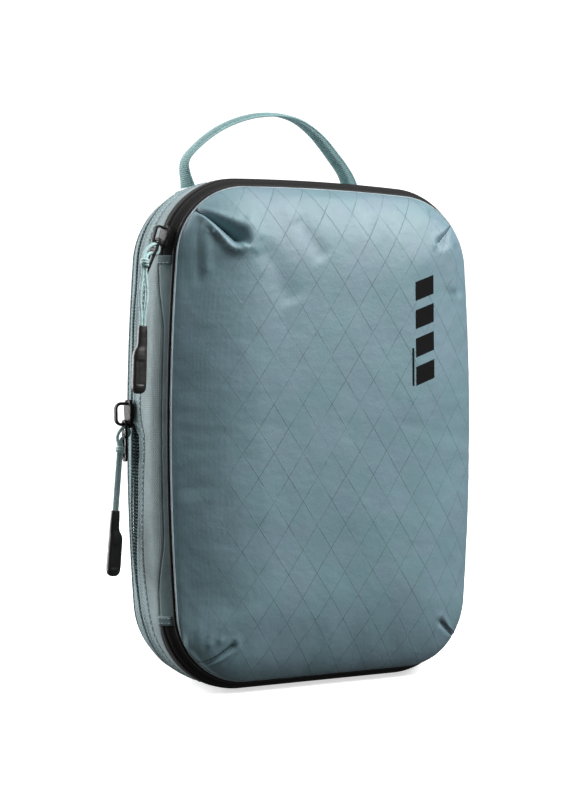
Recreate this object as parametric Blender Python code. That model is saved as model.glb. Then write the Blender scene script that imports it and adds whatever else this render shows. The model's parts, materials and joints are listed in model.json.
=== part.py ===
"""Packing cube: a soft zipped travel case with a front lid and a compression zip.

Metres, +Z up. The case stands on its bottom edge: the origin is the middle of that edge,
+X runs to the right of the lid, and the lid faces -Y. Depths are counted from the front
seam, where the lid's piping lies, towards the back.
"""

import math

import bmesh
import bpy
from mathutils import Matrix, Vector

# ---- driving dimensions -------------------------------------------------------------
HALF_WIDTH = 0.087        # front seam, from the middle to the left or right side
HALF_HEIGHT = 0.125       # front seam, from the middle to the top or bottom
CORNER_RADIUS = 0.038
SIDE_BOW_RADIUS = 1.20    # the left and right sides curve outwards a little
TOP_BOW_RADIUS = 1.05
FLAT_RADIUS = 1000.0      # the bottom, which the case stands on, is straight
WALL_SWELL = 0.006        # how far the wall swells past the front seam
SWELL_FRONT = 0.013       # the swell is full between these two depths
SWELL_BACK = 0.038
WALL_END = 0.052
FRONT_DOME = 0.019        # how far the lid's middle stands in front of its seam
REAR_DOME = 0.011
SKIN = 0.0012             # thickness of fabric and zip tape
GAP = 0.0003              # clearance between neighbouring pieces

# ---- places across the depth of the wall --------------------------------------------
FRONT_SEAM_Y = -0.022
MAIN_ZIP_FRONT = 0.0017
MAIN_ZIP_LINE = 0.0081
MAIN_ZIP_BACK = 0.0142
LID_TAPE_BACK = 0.0078    # the black zip's two tapes end either side of its line
CASE_TAPE_FRONT = 0.0084
LID_COIL_FRONT = 0.0062
CASE_COIL_FRONT = 0.0088
SPINE_WAIST = 0.0054      # the spine narrows to this depth halfway up the left side
ZIP_LINE_MIDDLE = 0.033   # compression zip, at half height
ZIP_LINE_SLOPE = 0.043    # it leans back towards the top
ZIP_LINE_LOW = 0.029
ZIP_LINE_HIGH = 0.037
ZIP_TAPE_WIDTH = 0.0115
NARROWEST_GUSSET = 0.003
FRONT_COIL_OFFSET = -0.0018   # the compression zip's coils, from its line
REAR_COIL_OFFSET = 0.0006
COIL_WIDTH = 0.0012
REAR_TAPE_END = 0.0464
REAR_SEAM = 0.0477
REAR_PANEL_EDGE = 0.0492
PIPING_RADIUS = 0.0011

# ---- seam bindings on the inside ------------------------------------------------------
BINDING_WIDTH = 0.0016
BINDING_THICKNESS = 0.0016
LID_BINDING_FRONT = 0.0018
LID_BINDING_INWARDS = 0.0055
REAR_BINDING_FRONT = 0.0438
REAR_BINDING_INWARDS = 0.0030
CASE_BINDING_HALF = 0.0009
CASE_BINDING_THICKNESS = 0.0022

# ---- zip ends on the left side, heights from the middle ------------------------------
SPINE_TOP = 0.0875
SPINE_BOTTOM = -0.0915
TAB_LENGTH = 0.005        # the spine's two sewn end tabs
TAB_FRONT = 0.0021
TAB_BACK = 0.0138
TAB_THICKNESS = 0.0006

CENTRE_Z = HALF_HEIGHT + WALL_SWELL


# ---- outline of the case, seen from the front ----------------------------------------
def corner_centre(side_x, side_radius, cap_z, cap_radius, sign_x, sign_z):
    """Centre of the corner arc that touches a side arc and a top or bottom arc."""
    side = Vector((sign_x * (side_x - side_radius), 0.0))
    cap = Vector((0.0, sign_z * (cap_z - cap_radius)))
    reach_side = side_radius - CORNER_RADIUS
    reach_cap = cap_radius - CORNER_RADIUS
    between = cap - side
    span = between.length
    along = (reach_side**2 - reach_cap**2 + span**2) / (2 * span)
    across = math.sqrt(reach_side**2 - along**2)
    direction = between / span
    normal = Vector((-direction.y, direction.x))
    options = [side + direction * along + normal * (across * k) for k in (1, -1)]
    return max(options, key=lambda c: c.x * sign_x + c.y * sign_z)


class Arc:
    """One arc of the outline, walked clockwise as seen from the front."""

    def __init__(self, centre, radius, start, end, steps):
        self.centre = centre
        self.radius = radius
        self.start = start
        self.end = end
        self.steps = steps


def angle_towards(a, b):
    """Direction of b from a, in the range 0 to a full turn."""
    return math.atan2(b.y - a.y, b.x - a.x) % math.tau


def outline_arcs():
    """The nine arcs of the front seam, from halfway up the left side, clockwise."""
    left = Vector((-(HALF_WIDTH - SIDE_BOW_RADIUS), 0.0))
    right = -left
    top = Vector((0.0, HALF_HEIGHT - TOP_BOW_RADIUS))
    bottom = Vector((0.0, -(HALF_HEIGHT - FLAT_RADIUS)))
    upper_left = corner_centre(HALF_WIDTH, SIDE_BOW_RADIUS, HALF_HEIGHT, TOP_BOW_RADIUS, -1, 1)
    lower_left = corner_centre(HALF_WIDTH, SIDE_BOW_RADIUS, HALF_HEIGHT, FLAT_RADIUS, -1, -1)
    upper_right = Vector((-upper_left.x, upper_left.y))
    lower_right = Vector((-lower_left.x, lower_left.y))
    a = angle_towards(left, upper_left)
    b = angle_towards(top, upper_left)
    c = angle_towards(top, upper_right)
    d = angle_towards(right, upper_right)
    e = angle_towards(right, lower_right) - math.tau
    f = angle_towards(bottom, lower_right) - math.tau
    g = angle_towards(bottom, lower_left) - math.tau
    h = angle_towards(left, lower_left) - math.tau
    return [
        Arc(left, SIDE_BOW_RADIUS, math.pi, a, 7),
        Arc(upper_left, CORNER_RADIUS, a, b, 6),
        Arc(top, TOP_BOW_RADIUS, b, c, 4),
        Arc(upper_right, CORNER_RADIUS, c, d, 6),
        Arc(right, SIDE_BOW_RADIUS, d, e, 6),
        Arc(lower_right, CORNER_RADIUS, e, f, 6),
        Arc(bottom, FLAT_RADIUS, f, g, 4),
        Arc(lower_left, CORNER_RADIUS, g, h, 6),
        Arc(left, SIDE_BOW_RADIUS, h, -math.pi, 7),
    ]


ARCS = outline_arcs()
UPPER_LEFT_ARC = ARCS[1]


class Station:
    """A place on the outline: the arc it lies on and how far along it, from 0 to 1."""

    def __init__(self, number, share):
        self.arc = ARCS[number]
        self.angle = self.arc.start + (self.arc.end - self.arc.start) * share
        self.order = number + share
        self.height = self.arc.centre.y + self.arc.radius * math.sin(self.angle)
        self.across = self.arc.centre.x + self.arc.radius * math.cos(self.angle)

    def point(self, depth, inwards=0.0):
        """World point on the wall at a depth, some way in from its outer face."""
        reach = self.arc.radius + swell(depth) - inwards
        x = self.arc.centre.x + reach * math.cos(self.angle)
        z = self.arc.centre.y + reach * math.sin(self.angle)
        return Vector((x, FRONT_SEAM_Y + depth, z + CENTRE_Z))


def swell(depth):
    """How far the wall stands outside the front seam at a depth behind it."""
    if depth < SWELL_FRONT:
        share = (SWELL_FRONT - max(depth, 0.0)) / SWELL_FRONT
        return WALL_SWELL * (1 - share**2) ** 1.2
    if depth > SWELL_BACK:
        share = min(1.0, (depth - SWELL_BACK) / (WALL_END - SWELL_BACK))
        return WALL_SWELL * (1 - share**2) ** 0.8
    return WALL_SWELL


def smooth_step(value, low, high):
    t = min(1.0, max(0.0, (value - low) / (high - low)))
    return t * t * (3 - 2 * t)


def left_station(height):
    """The station on the left side or its corners at a height from the middle."""
    for number in (0, 1, 7, 8):
        arc = ARCS[number]
        sine = (height - arc.centre.y) / arc.radius
        if abs(sine) > 1:
            continue
        angle = math.pi - math.asin(sine)
        if arc.start < 0:
            angle -= math.tau
        share = (angle - arc.start) / (arc.end - arc.start)
        if -1e-6 <= share <= 1 + 1e-6:
            return Station(number, share)
    raise ValueError("no station at that height")


def ring_stations():
    """Stations all the way round in order, with one at each end of the main zip."""
    found = [left_station(SPINE_TOP), left_station(SPINE_BOTTOM)]
    for number, arc in enumerate(ARCS):
        found += [Station(number, k / arc.steps) for k in range(arc.steps)]
    return sorted(found, key=lambda s: s.order)


def zip_stations():
    """Stations of the main zip, from its upper end clockwise to its lower end."""
    return [s for s in RING if ZIP_START.order <= s.order <= ZIP_END.order]


def spine_stations(bottom, top):
    """Stations up the left side from one height to another."""
    low = left_station(bottom)
    high = left_station(top)
    below = [s for s in RING if s.order > low.order + 1e-6]
    above = [s for s in RING if s.order < high.order - 1e-6]
    return [low] + below + above + [high]


RING = ring_stations()
ZIP_START = left_station(SPINE_TOP)
ZIP_END = left_station(SPINE_BOTTOM)


def spine_back(station):
    """Depth of the spine's back edge: wide at its ends, narrow halfway up."""
    if station.across > -0.06:
        return MAIN_ZIP_BACK
    share = smooth_step(abs(station.height), 0.048, 0.084)
    return SPINE_WAIST + (MAIN_ZIP_BACK - SPINE_WAIST) * share


def zip_line(station):
    """Depth of the compression zip's coil."""
    depth = ZIP_LINE_MIDDLE + ZIP_LINE_SLOPE * station.height
    return min(ZIP_LINE_HIGH, max(ZIP_LINE_LOW, depth))


def gusset_back(station):
    """Depth where the gusset ends and the compression zip's tape starts."""
    narrowest = spine_back(station) + NARROWEST_GUSSET
    return max(zip_line(station) - ZIP_TAPE_WIDTH, narrowest)


# ---- mesh helpers ----------------------------------------------------------------------
def clear_scene():
    for thing in list(bpy.data.objects):
        bpy.data.objects.remove(thing, do_unlink=True)


def material(name, colour, roughness, metallic=0.0):
    made = bpy.data.materials.new(name)
    made.use_nodes = True
    shader = made.node_tree.nodes["Principled BSDF"]
    shader.inputs["Base Color"].default_value = (*colour, 1.0)
    shader.inputs["Roughness"].default_value = roughness
    shader.inputs["Metallic"].default_value = metallic
    return made


def add_object(name, mesh, surface, parent=None):
    thing = bpy.data.objects.new(name, mesh)
    mesh.materials.append(surface)
    bpy.context.collection.objects.link(thing)
    if parent is not None:
        thing.parent = parent
        thing.matrix_parent_inverse = parent.matrix_world.inverted()
    return thing


def add_pivot(name, place, parent=None):
    """An empty on a joint's axis."""
    pivot = bpy.data.objects.new(name, None)
    bpy.context.collection.objects.link(pivot)
    pivot.matrix_world = Matrix.Translation(place)
    if parent is not None:
        pivot.parent = parent
        pivot.matrix_parent_inverse = parent.matrix_world.inverted()
    bpy.context.view_layer.update()
    return pivot


def mesh_from(name, build, smooth_angle=40):
    """A mesh made by a function that fills a bmesh, with its faces turned outwards."""
    bm = bmesh.new()
    build(bm)
    bmesh.ops.recalc_face_normals(bm, faces=bm.faces)
    mesh = bpy.data.meshes.new(name)
    bm.to_mesh(mesh)
    bm.free()
    mesh.shade_smooth()
    mesh.set_sharp_from_angle(angle=math.radians(smooth_angle))
    return mesh


def loft(bm, sections, closed):
    """Skins a row of equal closed sections, joined end to end or capped."""
    rows = [[bm.verts.new(p) for p in section] for section in sections]
    count = len(rows[0])
    last = len(rows) if closed else len(rows) - 1
    for k in range(last):
        here = rows[k]
        there = rows[(k + 1) % len(rows)]
        for j in range(count):
            n = (j + 1) % count
            bm.faces.new((here[j], here[n], there[n], there[j]))
    if not closed:
        bm.faces.new(rows[0])
        bm.faces.new(rows[-1])


def band(name, stations, front, back, outer, inner, steps=3, closed=True):
    """A band of wall between two depths, and between two distances in from its outer face."""

    def build(bm):
        sections = []
        for station in stations:
            low = front(station)
            high = back(station)
            depths = [low + (high - low) * k / steps for k in range(steps + 1)]
            section = [station.point(d, outer) for d in depths]
            section += [station.point(d, inner) for d in reversed(depths)]
            sections.append(section)
        loft(bm, sections, closed)

    return mesh_from(name, build)


def fixed(depth):
    return lambda station: depth


def panel(name, edge_depth, dome, direction, inset):
    """A domed panel inside the outline; direction -1 domes to the front, 1 to the back."""
    shares = (1.0, 0.95, 0.86, 0.72, 0.52, 0.27)
    inner_shrink = 0.0008

    def surface(station, share, lift, shrink):
        rim = station.point(edge_depth, swell(edge_depth) + inset)
        scale = share - shrink / HALF_WIDTH
        rise = dome * (1 - share**2.6) ** 0.8 + lift
        z = (rim.z - CENTRE_Z) * scale + CENTRE_Z
        return Vector((rim.x * scale, rim.y + direction * rise, z))

    def build(bm):
        outer = [[bm.verts.new(surface(s, k, 0.0, 0.0)) for s in RING] for k in shares]
        inner = [[bm.verts.new(surface(s, k, -SKIN, inner_shrink)) for s in RING] for k in shares]
        count = len(RING)
        for rows in (outer, inner):
            for near, far in zip(rows, rows[1:]):
                for j in range(count):
                    n = (j + 1) % count
                    bm.faces.new((near[j], near[n], far[n], far[j]))
            top = sum((v.co for v in rows[-1]), Vector()) / count
            height = dome if rows is outer else dome - SKIN
            top.y = FRONT_SEAM_Y + edge_depth + direction * height
            centre = bm.verts.new(top)
            for j in range(count):
                bm.faces.new((rows[-1][j], rows[-1][(j + 1) % count], centre))
        for j in range(count):
            n = (j + 1) % count
            bm.faces.new((outer[0][j], outer[0][n], inner[0][n], inner[0][j]))

    return mesh_from(name, build)


def ring_tube(name, depth, radius, sides=6):
    """A piping cord that follows the outline."""

    def build(bm):
        sections = []
        for station in RING:
            middle = station.point(depth, 0.0)
            out = Vector((math.cos(station.angle), 0, math.sin(station.angle)))
            section = []
            for k in range(sides):
                turn = math.tau * k / sides
                around = out * math.cos(turn) + Vector((0, math.sin(turn), 0))
                section.append(middle + around * radius)
            sections.append(section)
        loft(bm, sections, True)

    return mesh_from(name, build, 80)


def box_mesh(name, size, place):
    def build(bm):
        bmesh.ops.create_cube(bm, size=1.0)
        bmesh.ops.scale(bm, vec=size, verts=bm.verts)
        bmesh.ops.translate(bm, vec=place, verts=bm.verts)

    return mesh_from(name, build)


def smooth_route(points, count):
    """Points spread evenly along a smooth curve through the given ones."""
    ends = [points[0] * 2 - points[1]] + list(points) + [points[-1] * 2 - points[-2]]
    fine = []
    for k in range(1, len(ends) - 2):
        p0, p1, p2, p3 = ends[k - 1 : k + 3]
        t1 = (p1 - p0).length ** 0.5
        t2 = t1 + (p2 - p1).length ** 0.5
        t3 = t2 + (p3 - p2).length ** 0.5
        for step in range(24):
            t = t1 + (t2 - t1) * step / 24
            a1 = p0 * ((t1 - t) / t1) + p1 * (t / t1)
            a2 = p1 * ((t2 - t) / (t2 - t1)) + p2 * ((t - t1) / (t2 - t1))
            a3 = p2 * ((t3 - t) / (t3 - t2)) + p3 * ((t - t2) / (t3 - t2))
            b1 = a1 * ((t2 - t) / t2) + a2 * (t / t2)
            b2 = a2 * ((t3 - t) / (t3 - t1)) + a3 * ((t - t1) / (t3 - t1))
            fine.append(b1 * ((t2 - t) / (t2 - t1)) + b2 * ((t - t1) / (t2 - t1)))
    fine.append(points[-1].copy())
    lengths = [0.0]
    for a, b in zip(fine, fine[1:]):
        lengths.append(lengths[-1] + (b - a).length)
    even = []
    k = 0
    for step in range(count):
        target = lengths[-1] * step / (count - 1)
        while k < len(fine) - 2 and lengths[k + 1] < target:
            k += 1
        share = (target - lengths[k]) / (lengths[k + 1] - lengths[k])
        even.append(fine[k].lerp(fine[k + 1], share))
    return even


def tube_curve(name, points, radius, surface, parent):
    """A cord as a poly curve with a round bevel and filled caps."""
    curve = bpy.data.curves.new(name, "CURVE")
    curve.dimensions = "3D"
    curve.bevel_depth = radius
    curve.bevel_resolution = 2
    curve.use_fill_caps = True
    spline = curve.splines.new("POLY")
    spline.points.add(len(points) - 1)
    for place, p in zip(spline.points, points):
        place.co = (*p, 1.0)
    return add_object(name, curve, surface, parent)


# ---- materials -------------------------------------------------------------------------
clear_scene()
PANEL = material("coated_ripstop", (0.20, 0.31, 0.35), 0.38)
GUSSET = material("gusset_fabric", (0.20, 0.26, 0.27), 0.6)
SPINE = material("spine_fabric", (0.16, 0.24, 0.25), 0.6)
TWILL = material("zip_twill", (0.29, 0.39, 0.41), 0.7)
BLACK_TAPE = material("black_zip_tape", (0.035, 0.034, 0.035), 0.75)
BLACK_PIPING = material("black_piping", (0.012, 0.012, 0.013), 0.5)
COIL = material("zip_coil", (0.05, 0.08, 0.09), 0.4)
WEBBING = material("handle_webbing", (0.40, 0.55, 0.55), 0.75)
METAL = material("black_slider", (0.02, 0.02, 0.02), 0.3, 0.6)
CORD = material("pull_cord", (0.33, 0.47, 0.48), 0.7)
GRIP = material("grip_rubber", (0.022, 0.021, 0.021), 0.45)

# ---- joints' axes ------------------------------------------------------------------------
LID_HINGE = Vector((-HALF_WIDTH, FRONT_SEAM_Y, CENTRE_Z))
lid = add_pivot("lid_axis", LID_HINGE)
rear = add_pivot("rear_section_slide", Vector((0, FRONT_SEAM_Y + REAR_SEAM, CENTRE_Z)))

# ---- case: gusset, spine and the fixed halves of the zips ----------------------------------
ZIP = zip_stations()
SPINE_PLACES = spine_stations(SPINE_BOTTOM + GAP, SPINE_TOP - GAP)


def coil(name, stations, front, closed, surface, parent=None):
    """A zip's coil, sewn on the inner face of its tape."""
    mesh = band(
        name,
        stations,
        front,
        lambda s: front(s) + COIL_WIDTH,
        SKIN + GAP,
        SKIN + GAP + COIL_WIDTH,
        steps=1,
        closed=closed,
    )
    return add_object(name, mesh, surface, parent)


def build_case():
    gusset = band("middle_gusset", RING, lambda s: spine_back(s) + GAP, gusset_back, 0.0, SKIN)
    add_object("middle_gusset", gusset, GUSSET)
    spine = band("spine_panel", SPINE_PLACES, fixed(MAIN_ZIP_FRONT), spine_back, 0.0, SKIN, 2, False)
    add_object("spine_panel", spine, SPINE)
    tape_front = fixed(CASE_TAPE_FRONT)
    tape = band("main_zip_case_tape", ZIP, tape_front, fixed(MAIN_ZIP_BACK), 0.0, SKIN, 2, False)
    add_object("main_zip_case_tape", tape, BLACK_TAPE)
    coil("main_zip_case_coil", ZIP, fixed(CASE_COIL_FRONT), False, BLACK_PIPING)
    front_tape = band(
        "compression_zip_front_tape",
        RING,
        lambda s: gusset_back(s) + GAP,
        lambda s: zip_line(s) - GAP,
        0.0,
        SKIN,
    )
    add_object("compression_zip_front_tape", front_tape, TWILL)
    coil_front = lambda s: zip_line(s) + FRONT_COIL_OFFSET
    coil("compression_zip_front_coil", RING, coil_front, True, COIL)
    binding = band(
        "case_seam_binding",
        RING,
        lambda s: gusset_back(s) - CASE_BINDING_HALF,
        lambda s: gusset_back(s) + CASE_BINDING_HALF,
        SKIN + GAP,
        SKIN + GAP + CASE_BINDING_THICKNESS,
        steps=1,
    )
    add_object("case_seam_binding", binding, BLACK_PIPING)
    for name, bottom, top in (
        ("spine_top_tab", SPINE_TOP - TAB_LENGTH, SPINE_TOP - GAP),
        ("spine_bottom_tab", SPINE_BOTTOM + GAP, SPINE_BOTTOM + TAB_LENGTH),
    ):
        places = [left_station(bottom), left_station(top)]
        outside = -GAP - TAB_THICKNESS
        mesh = band(name, places, fixed(TAB_FRONT), fixed(TAB_BACK), outside, -GAP, 2, False)
        add_object(name, mesh, SPINE)


def build_expansion_gusset():
    """The folded fabric that lets the case grow when the compression zip is open."""
    pleat_depth = 0.019
    half_pleat = 0.0058
    cloth = 0.0007
    near = SKIN + GAP + 0.0006

    # Across the pleat: distance behind the zip's line, and distance in from the widest wall.
    section = (
        (-half_pleat, near),
        (-cloth / 2, pleat_depth),
        (half_pleat - cloth, near),
        (half_pleat, near),
        (0.0, pleat_depth + 2 * cloth),
        (-half_pleat - cloth, near),
    )

    def place(station, offset, inwards):
        depth = zip_line(station) + offset
        return station.point(depth, inwards + swell(depth) - WALL_SWELL)

    def build(bm):
        loft(bm, [[place(s, *corner) for corner in section] for s in RING], True)

    add_object("expansion_gusset", mesh_from("expansion_gusset", build), GUSSET)


build_case()
build_expansion_gusset()


# ---- lid -----------------------------------------------------------------------------------
def seam_binding(name, front, inwards):
    """Tape that binds a seam's raw edges, on the inside of the wall."""
    back = front + BINDING_WIDTH
    return band(name, RING, fixed(front), fixed(back), inwards, inwards + BINDING_THICKNESS, 1)


def build_lid():
    edge_depth = -0.0004
    inset = 0.0016
    front = panel("front_panel", edge_depth, FRONT_DOME, -1, inset)
    add_object("front_panel", front, PANEL, lid)
    add_object("front_piping", ring_tube("front_piping", 0.0, PIPING_RADIUS), BLACK_PIPING, lid)
    tape_front = fixed(MAIN_ZIP_FRONT)
    tape = band("main_zip_lid_tape", ZIP, tape_front, fixed(LID_TAPE_BACK), 0.0, SKIN, 2, False)
    add_object("main_zip_lid_tape", tape, BLACK_TAPE, lid)
    coil("main_zip_lid_coil", ZIP, fixed(LID_COIL_FRONT), False, BLACK_PIPING, lid)
    binding = seam_binding("lid_seam_binding", LID_BINDING_FRONT, LID_BINDING_INWARDS)
    add_object("lid_seam_binding", binding, BLACK_PIPING, lid)


build_lid()


# ---- rear section, which slides back as the compression zip opens ---------------------------
HANDLE_DEPTH = 0.0486
HANDLE_LEFT = -0.0555
HANDLE_RIGHT = 0.0450
HANDLE_AXIS_Z = CENTRE_Z + 0.1330
HANDLE_THICKNESS = 0.0016
HANDLE_WIDTH = 0.010
HANDLE_TURN_START = 0.003     # the strap turns a quarter between these distances from its end
HANDLE_TURN_END = 0.018
ANCHOR_SIZE = (0.012, 0.0032, 0.0022)
ANCHOR_DROP = 0.0027


def build_rear():
    tape = band(
        "compression_zip_rear_tape",
        RING,
        lambda s: zip_line(s) + GAP,
        fixed(REAR_TAPE_END),
        0.0,
        SKIN,
    )
    add_object("compression_zip_rear_tape", tape, TWILL, rear)
    coil_front = lambda s: zip_line(s) + REAR_COIL_OFFSET
    coil("compression_zip_rear_coil", RING, coil_front, True, COIL, rear)
    add_object("rear_piping", ring_tube("rear_piping", REAR_SEAM, PIPING_RADIUS), SPINE, rear)
    add_object("rear_panel", panel("rear_panel", REAR_PANEL_EDGE, REAR_DOME, 1, 0.0), PANEL, rear)
    binding = seam_binding("rear_seam_binding", REAR_BINDING_FRONT, REAR_BINDING_INWARDS)
    add_object("rear_seam_binding", binding, BLACK_PIPING, rear)
    for name, x in (("handle_anchor_left", HANDLE_LEFT), ("handle_anchor_right", HANDLE_RIGHT)):
        place = (x, FRONT_SEAM_Y + HANDLE_DEPTH, HANDLE_AXIS_Z - ANCHOR_DROP)
        add_object(name, box_mesh(name, ANCHOR_SIZE, place), WEBBING, rear)


build_rear()

handle = add_pivot("handle_axis", Vector((0, FRONT_SEAM_Y + HANDLE_DEPTH, HANDLE_AXIS_Z)), rear)

# The arch of the handle: distance right of the middle and height over the axis, in metres.
HANDLE_ARCH = [
    (HANDLE_LEFT, -0.0007),
    (HANDLE_LEFT - 0.0018, 0.009),
    (-0.0520, 0.018),
    (-0.0375, 0.0290),
    (-0.0205, 0.0370),
    (-0.0040, 0.0392),
    (0.0110, 0.0368),
    (0.0235, 0.0295),
    (0.0345, 0.0185),
    (0.0415, 0.0085),
    (HANDLE_RIGHT, -0.0007),
]


def build_handle():
    """A flat strap, turned edge-on to the seam at its two sewn ends."""
    y = FRONT_SEAM_Y + HANDLE_DEPTH
    route = smooth_route([Vector((x, y, HANDLE_AXIS_Z + z)) for x, z in HANDLE_ARCH], 31)
    length = sum((b - a).length for a, b in zip(route, route[1:]))

    def build(bm):
        sections = []
        walked = 0.0
        for k, p in enumerate(route):
            before = route[max(0, k - 1)]
            after = route[min(len(route) - 1, k + 1)]
            along = (after - before).normalized()
            if k in (0, len(route) - 1):
                along = Vector((0, 0, 1 if k == 0 else -1))
            flat = Vector((0, 1, 0))
            face = along.cross(flat).normalized()
            from_end = min(walked, length - walked)
            turn = math.radians(90) * smooth_step(from_end, HANDLE_TURN_START, HANDLE_TURN_END)
            wide = face * math.cos(turn) + flat * math.sin(turn)
            thin = along.cross(wide).normalized()
            half_w = wide * (HANDLE_WIDTH / 2)
            half_t = thin * (HANDLE_THICKNESS / 2)
            corners = ((1, 1), (-1, 1), (-1, -1), (1, -1))
            sections.append([p + half_w * w + half_t * t for w, t in corners])
            if k + 1 < len(route):
                walked += (route[k + 1] - p).length
        for k in range(1, len(sections)):
            straight = (sections[k][0] - sections[k - 1][0]).length
            crossed = (sections[k][2] - sections[k - 1][0]).length
            if crossed < straight:
                sections[k] = sections[k][2:] + sections[k][:2]
        loft(bm, sections, False)

    add_object("handle_webbing", mesh_from("handle_webbing", build), WEBBING, handle)


build_handle()

# ---- sliders, pull tabs, cords and grips ------------------------------------------------------
SLIDER_GAP = 0.0005
PLATE_LENGTH = 0.0125
PLATE_WIDTH = 0.0086
PLATE_THICKNESS = 0.0018
BRIDGE_LENGTH = 0.0106
BRIDGE_WIDTH = 0.0030
BRIDGE_TOP = 0.0082
BRIDGE_BAR = 0.0014
BRIDGE_BEND = 0.0024
TAB_AXIS_OUT = 0.0056
TAB_AXIS_UP = -0.0022
PULL_THICKNESS = 0.0013
PULL_WIDTH = 0.0062
PULL_LENGTH = 0.0215
PULL_TOP = 0.00075         # the tab's upper edge, over its axis
PULL_SIDE_BAR = -0.0023    # the cord goes round the bar on this side of the slot
CORD_RADIUS = 0.00072
STRAND_OFFSET = 0.0009     # each strand of the doubled cord, from the middle between them
KNOT_CLEARANCE = 0.00025
KNOT_WALL = 0.0011
KNOT_HALF = 0.0016
KNOT_BULGE = 1.16
LOOP_DROP = -0.0100        # the cord's swing axis, down the tab from the tab's own axis
GRIP_STEP = 0.0011
GRIP_DROP = 0.0310         # from the knot to the grip's upper end
GRIP_LEAN = math.radians(2)
MAIN_SLIDER_ANGLE = 20     # degrees, above the left point of the upper left corner's arc
COMPRESSION_SLIDER_HEIGHT = 0.0095


def slider_frame(origin, out, up):
    """Local axes of a slider: x across the zip towards the back, y outwards, z up the zip."""
    lateral = out.cross(up)
    columns = Matrix((lateral, out, up)).transposed().to_4x4()
    return Matrix.Translation(origin) @ columns


def outline_prism(bm, outline, low, high, frame):
    """Extrudes an outline in the slider's x and z across a span of y."""
    near = [bm.verts.new(frame @ Vector((x, low, z))) for x, z in outline]
    far = [bm.verts.new(frame @ Vector((x, high, z))) for x, z in outline]
    count = len(outline)
    bm.faces.new(near)
    bm.faces.new(far)
    for j in range(count):
        n = (j + 1) % count
        bm.faces.new((near[j], near[n], far[n], far[j]))


def rounded_outline(width, low, high, radius, steps=3):
    """A rounded rectangle in x and z, as a list of points."""
    found = []
    half = width / 2
    corners = (
        (half - radius, high - radius, 0),
        (-half + radius, high - radius, 90),
        (-half + radius, low + radius, 180),
        (half - radius, low + radius, 270),
    )
    for cx, cz, start in corners:
        for k in range(steps + 1):
            a = math.radians(start + 90 * k / steps)
            found.append((cx + radius * math.cos(a), cz + radius * math.sin(a)))
    return found


def bridge_sections(frame):
    """The slider's bridge: a flat bar bent over the tab's axis, both feet in the plate."""
    foot = SLIDER_GAP + PLATE_THICKNESS * 0.5
    half = BRIDGE_LENGTH / 2
    top = BRIDGE_TOP - BRIDGE_BAR / 2
    path = [Vector((foot, half - BRIDGE_BAR / 2))]
    for k in range(5):
        a = math.radians(90 * k / 4)
        centre = Vector((top - BRIDGE_BEND, half - BRIDGE_BAR / 2 - BRIDGE_BEND))
        path.append(centre + Vector((math.sin(a), math.cos(a))) * BRIDGE_BEND)
    mirrored = [Vector((p.x, -p.y)) for p in reversed(path)]
    path = path + mirrored
    sections = []
    for k, p in enumerate(path):
        along = (path[min(k + 1, len(path) - 1)] - path[max(k - 1, 0)]).normalized()
        side = Vector((-along.y, along.x)) * (BRIDGE_BAR / 2)
        ring = []
        for x, s in ((1, 1), (-1, 1), (-1, -1), (1, -1)):
            place = p + side * s
            ring.append(frame @ Vector((x * BRIDGE_WIDTH / 2, place.x, place.y)))
        sections.append(ring)
    return sections


def union(name, meshes, surface, parent):
    """Joins closed meshes into one closed body with exact Boolean unions."""
    base = add_object(name, meshes[0], surface, parent)
    for k, mesh in enumerate(meshes[1:]):
        tool = add_object(f"{name}_union_guide_{k}", mesh, surface)
        tool.hide_render = True
        tool.display_type = "WIRE"
        tool.parent = base
        tool.matrix_parent_inverse = base.matrix_world.inverted()
        join = base.modifiers.new(f"union_{k}", "BOOLEAN")
        join.operation = "UNION"
        join.object = tool
    return base


def build_slider(name, frame, parent):
    half = PLATE_LENGTH / 2

    def plate(bm):
        shape = [
            (0.0026, -half),
            (0.0040, -half + 0.0016),
            (0.0043, 0.0022),
            (0.0036, half - 0.0010),
            (0.0022, half),
        ]
        outline = shape + [(-x, z) for x, z in reversed(shape)]
        outline_prism(bm, outline, SLIDER_GAP, SLIDER_GAP + PLATE_THICKNESS, frame)

    def bridge(bm):
        loft(bm, bridge_sections(frame), False)

    return union(name, [mesh_from(name, plate), mesh_from(f"{name}_bridge", bridge)], METAL, parent)


def build_pull_tab(name, frame, parent):
    """The pull tab: an eye round the bridge, a slot for the cord and a small round hole."""
    top = PULL_TOP
    low = -PULL_THICKNESS / 2
    high = PULL_THICKNESS / 2

    def plate(bm):
        outline_prism(bm, rounded_outline(PULL_WIDTH, top - PULL_LENGTH, top, 0.0016), low, high, frame)

    base = add_object(name, mesh_from(name, plate), METAL, parent)
    openings = (
        ("eye", rounded_outline(0.0038, -0.0046, -0.00075, 0.0006, 2)),
        ("slot", rounded_outline(0.0031, -0.0135, -0.0066, 0.0012, 2)),
        ("hole", rounded_outline(0.0024, -0.0189, -0.0165, 0.00119, 3)),
    )
    for label, outline in openings:

        def cutter(bm, outline=outline):
            outline_prism(bm, outline, low * 3, high * 3, frame)

        tool = add_object(f"{name}_{label}_guide", mesh_from(label, cutter), METAL)
        tool.hide_render = True
        tool.display_type = "WIRE"
        tool.parent = base
        tool.matrix_parent_inverse = base.matrix_world.inverted()
        cut = base.modifiers.new(label, "BOOLEAN")
        cut.operation = "DIFFERENCE"
        cut.object = tool
    return base


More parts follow.
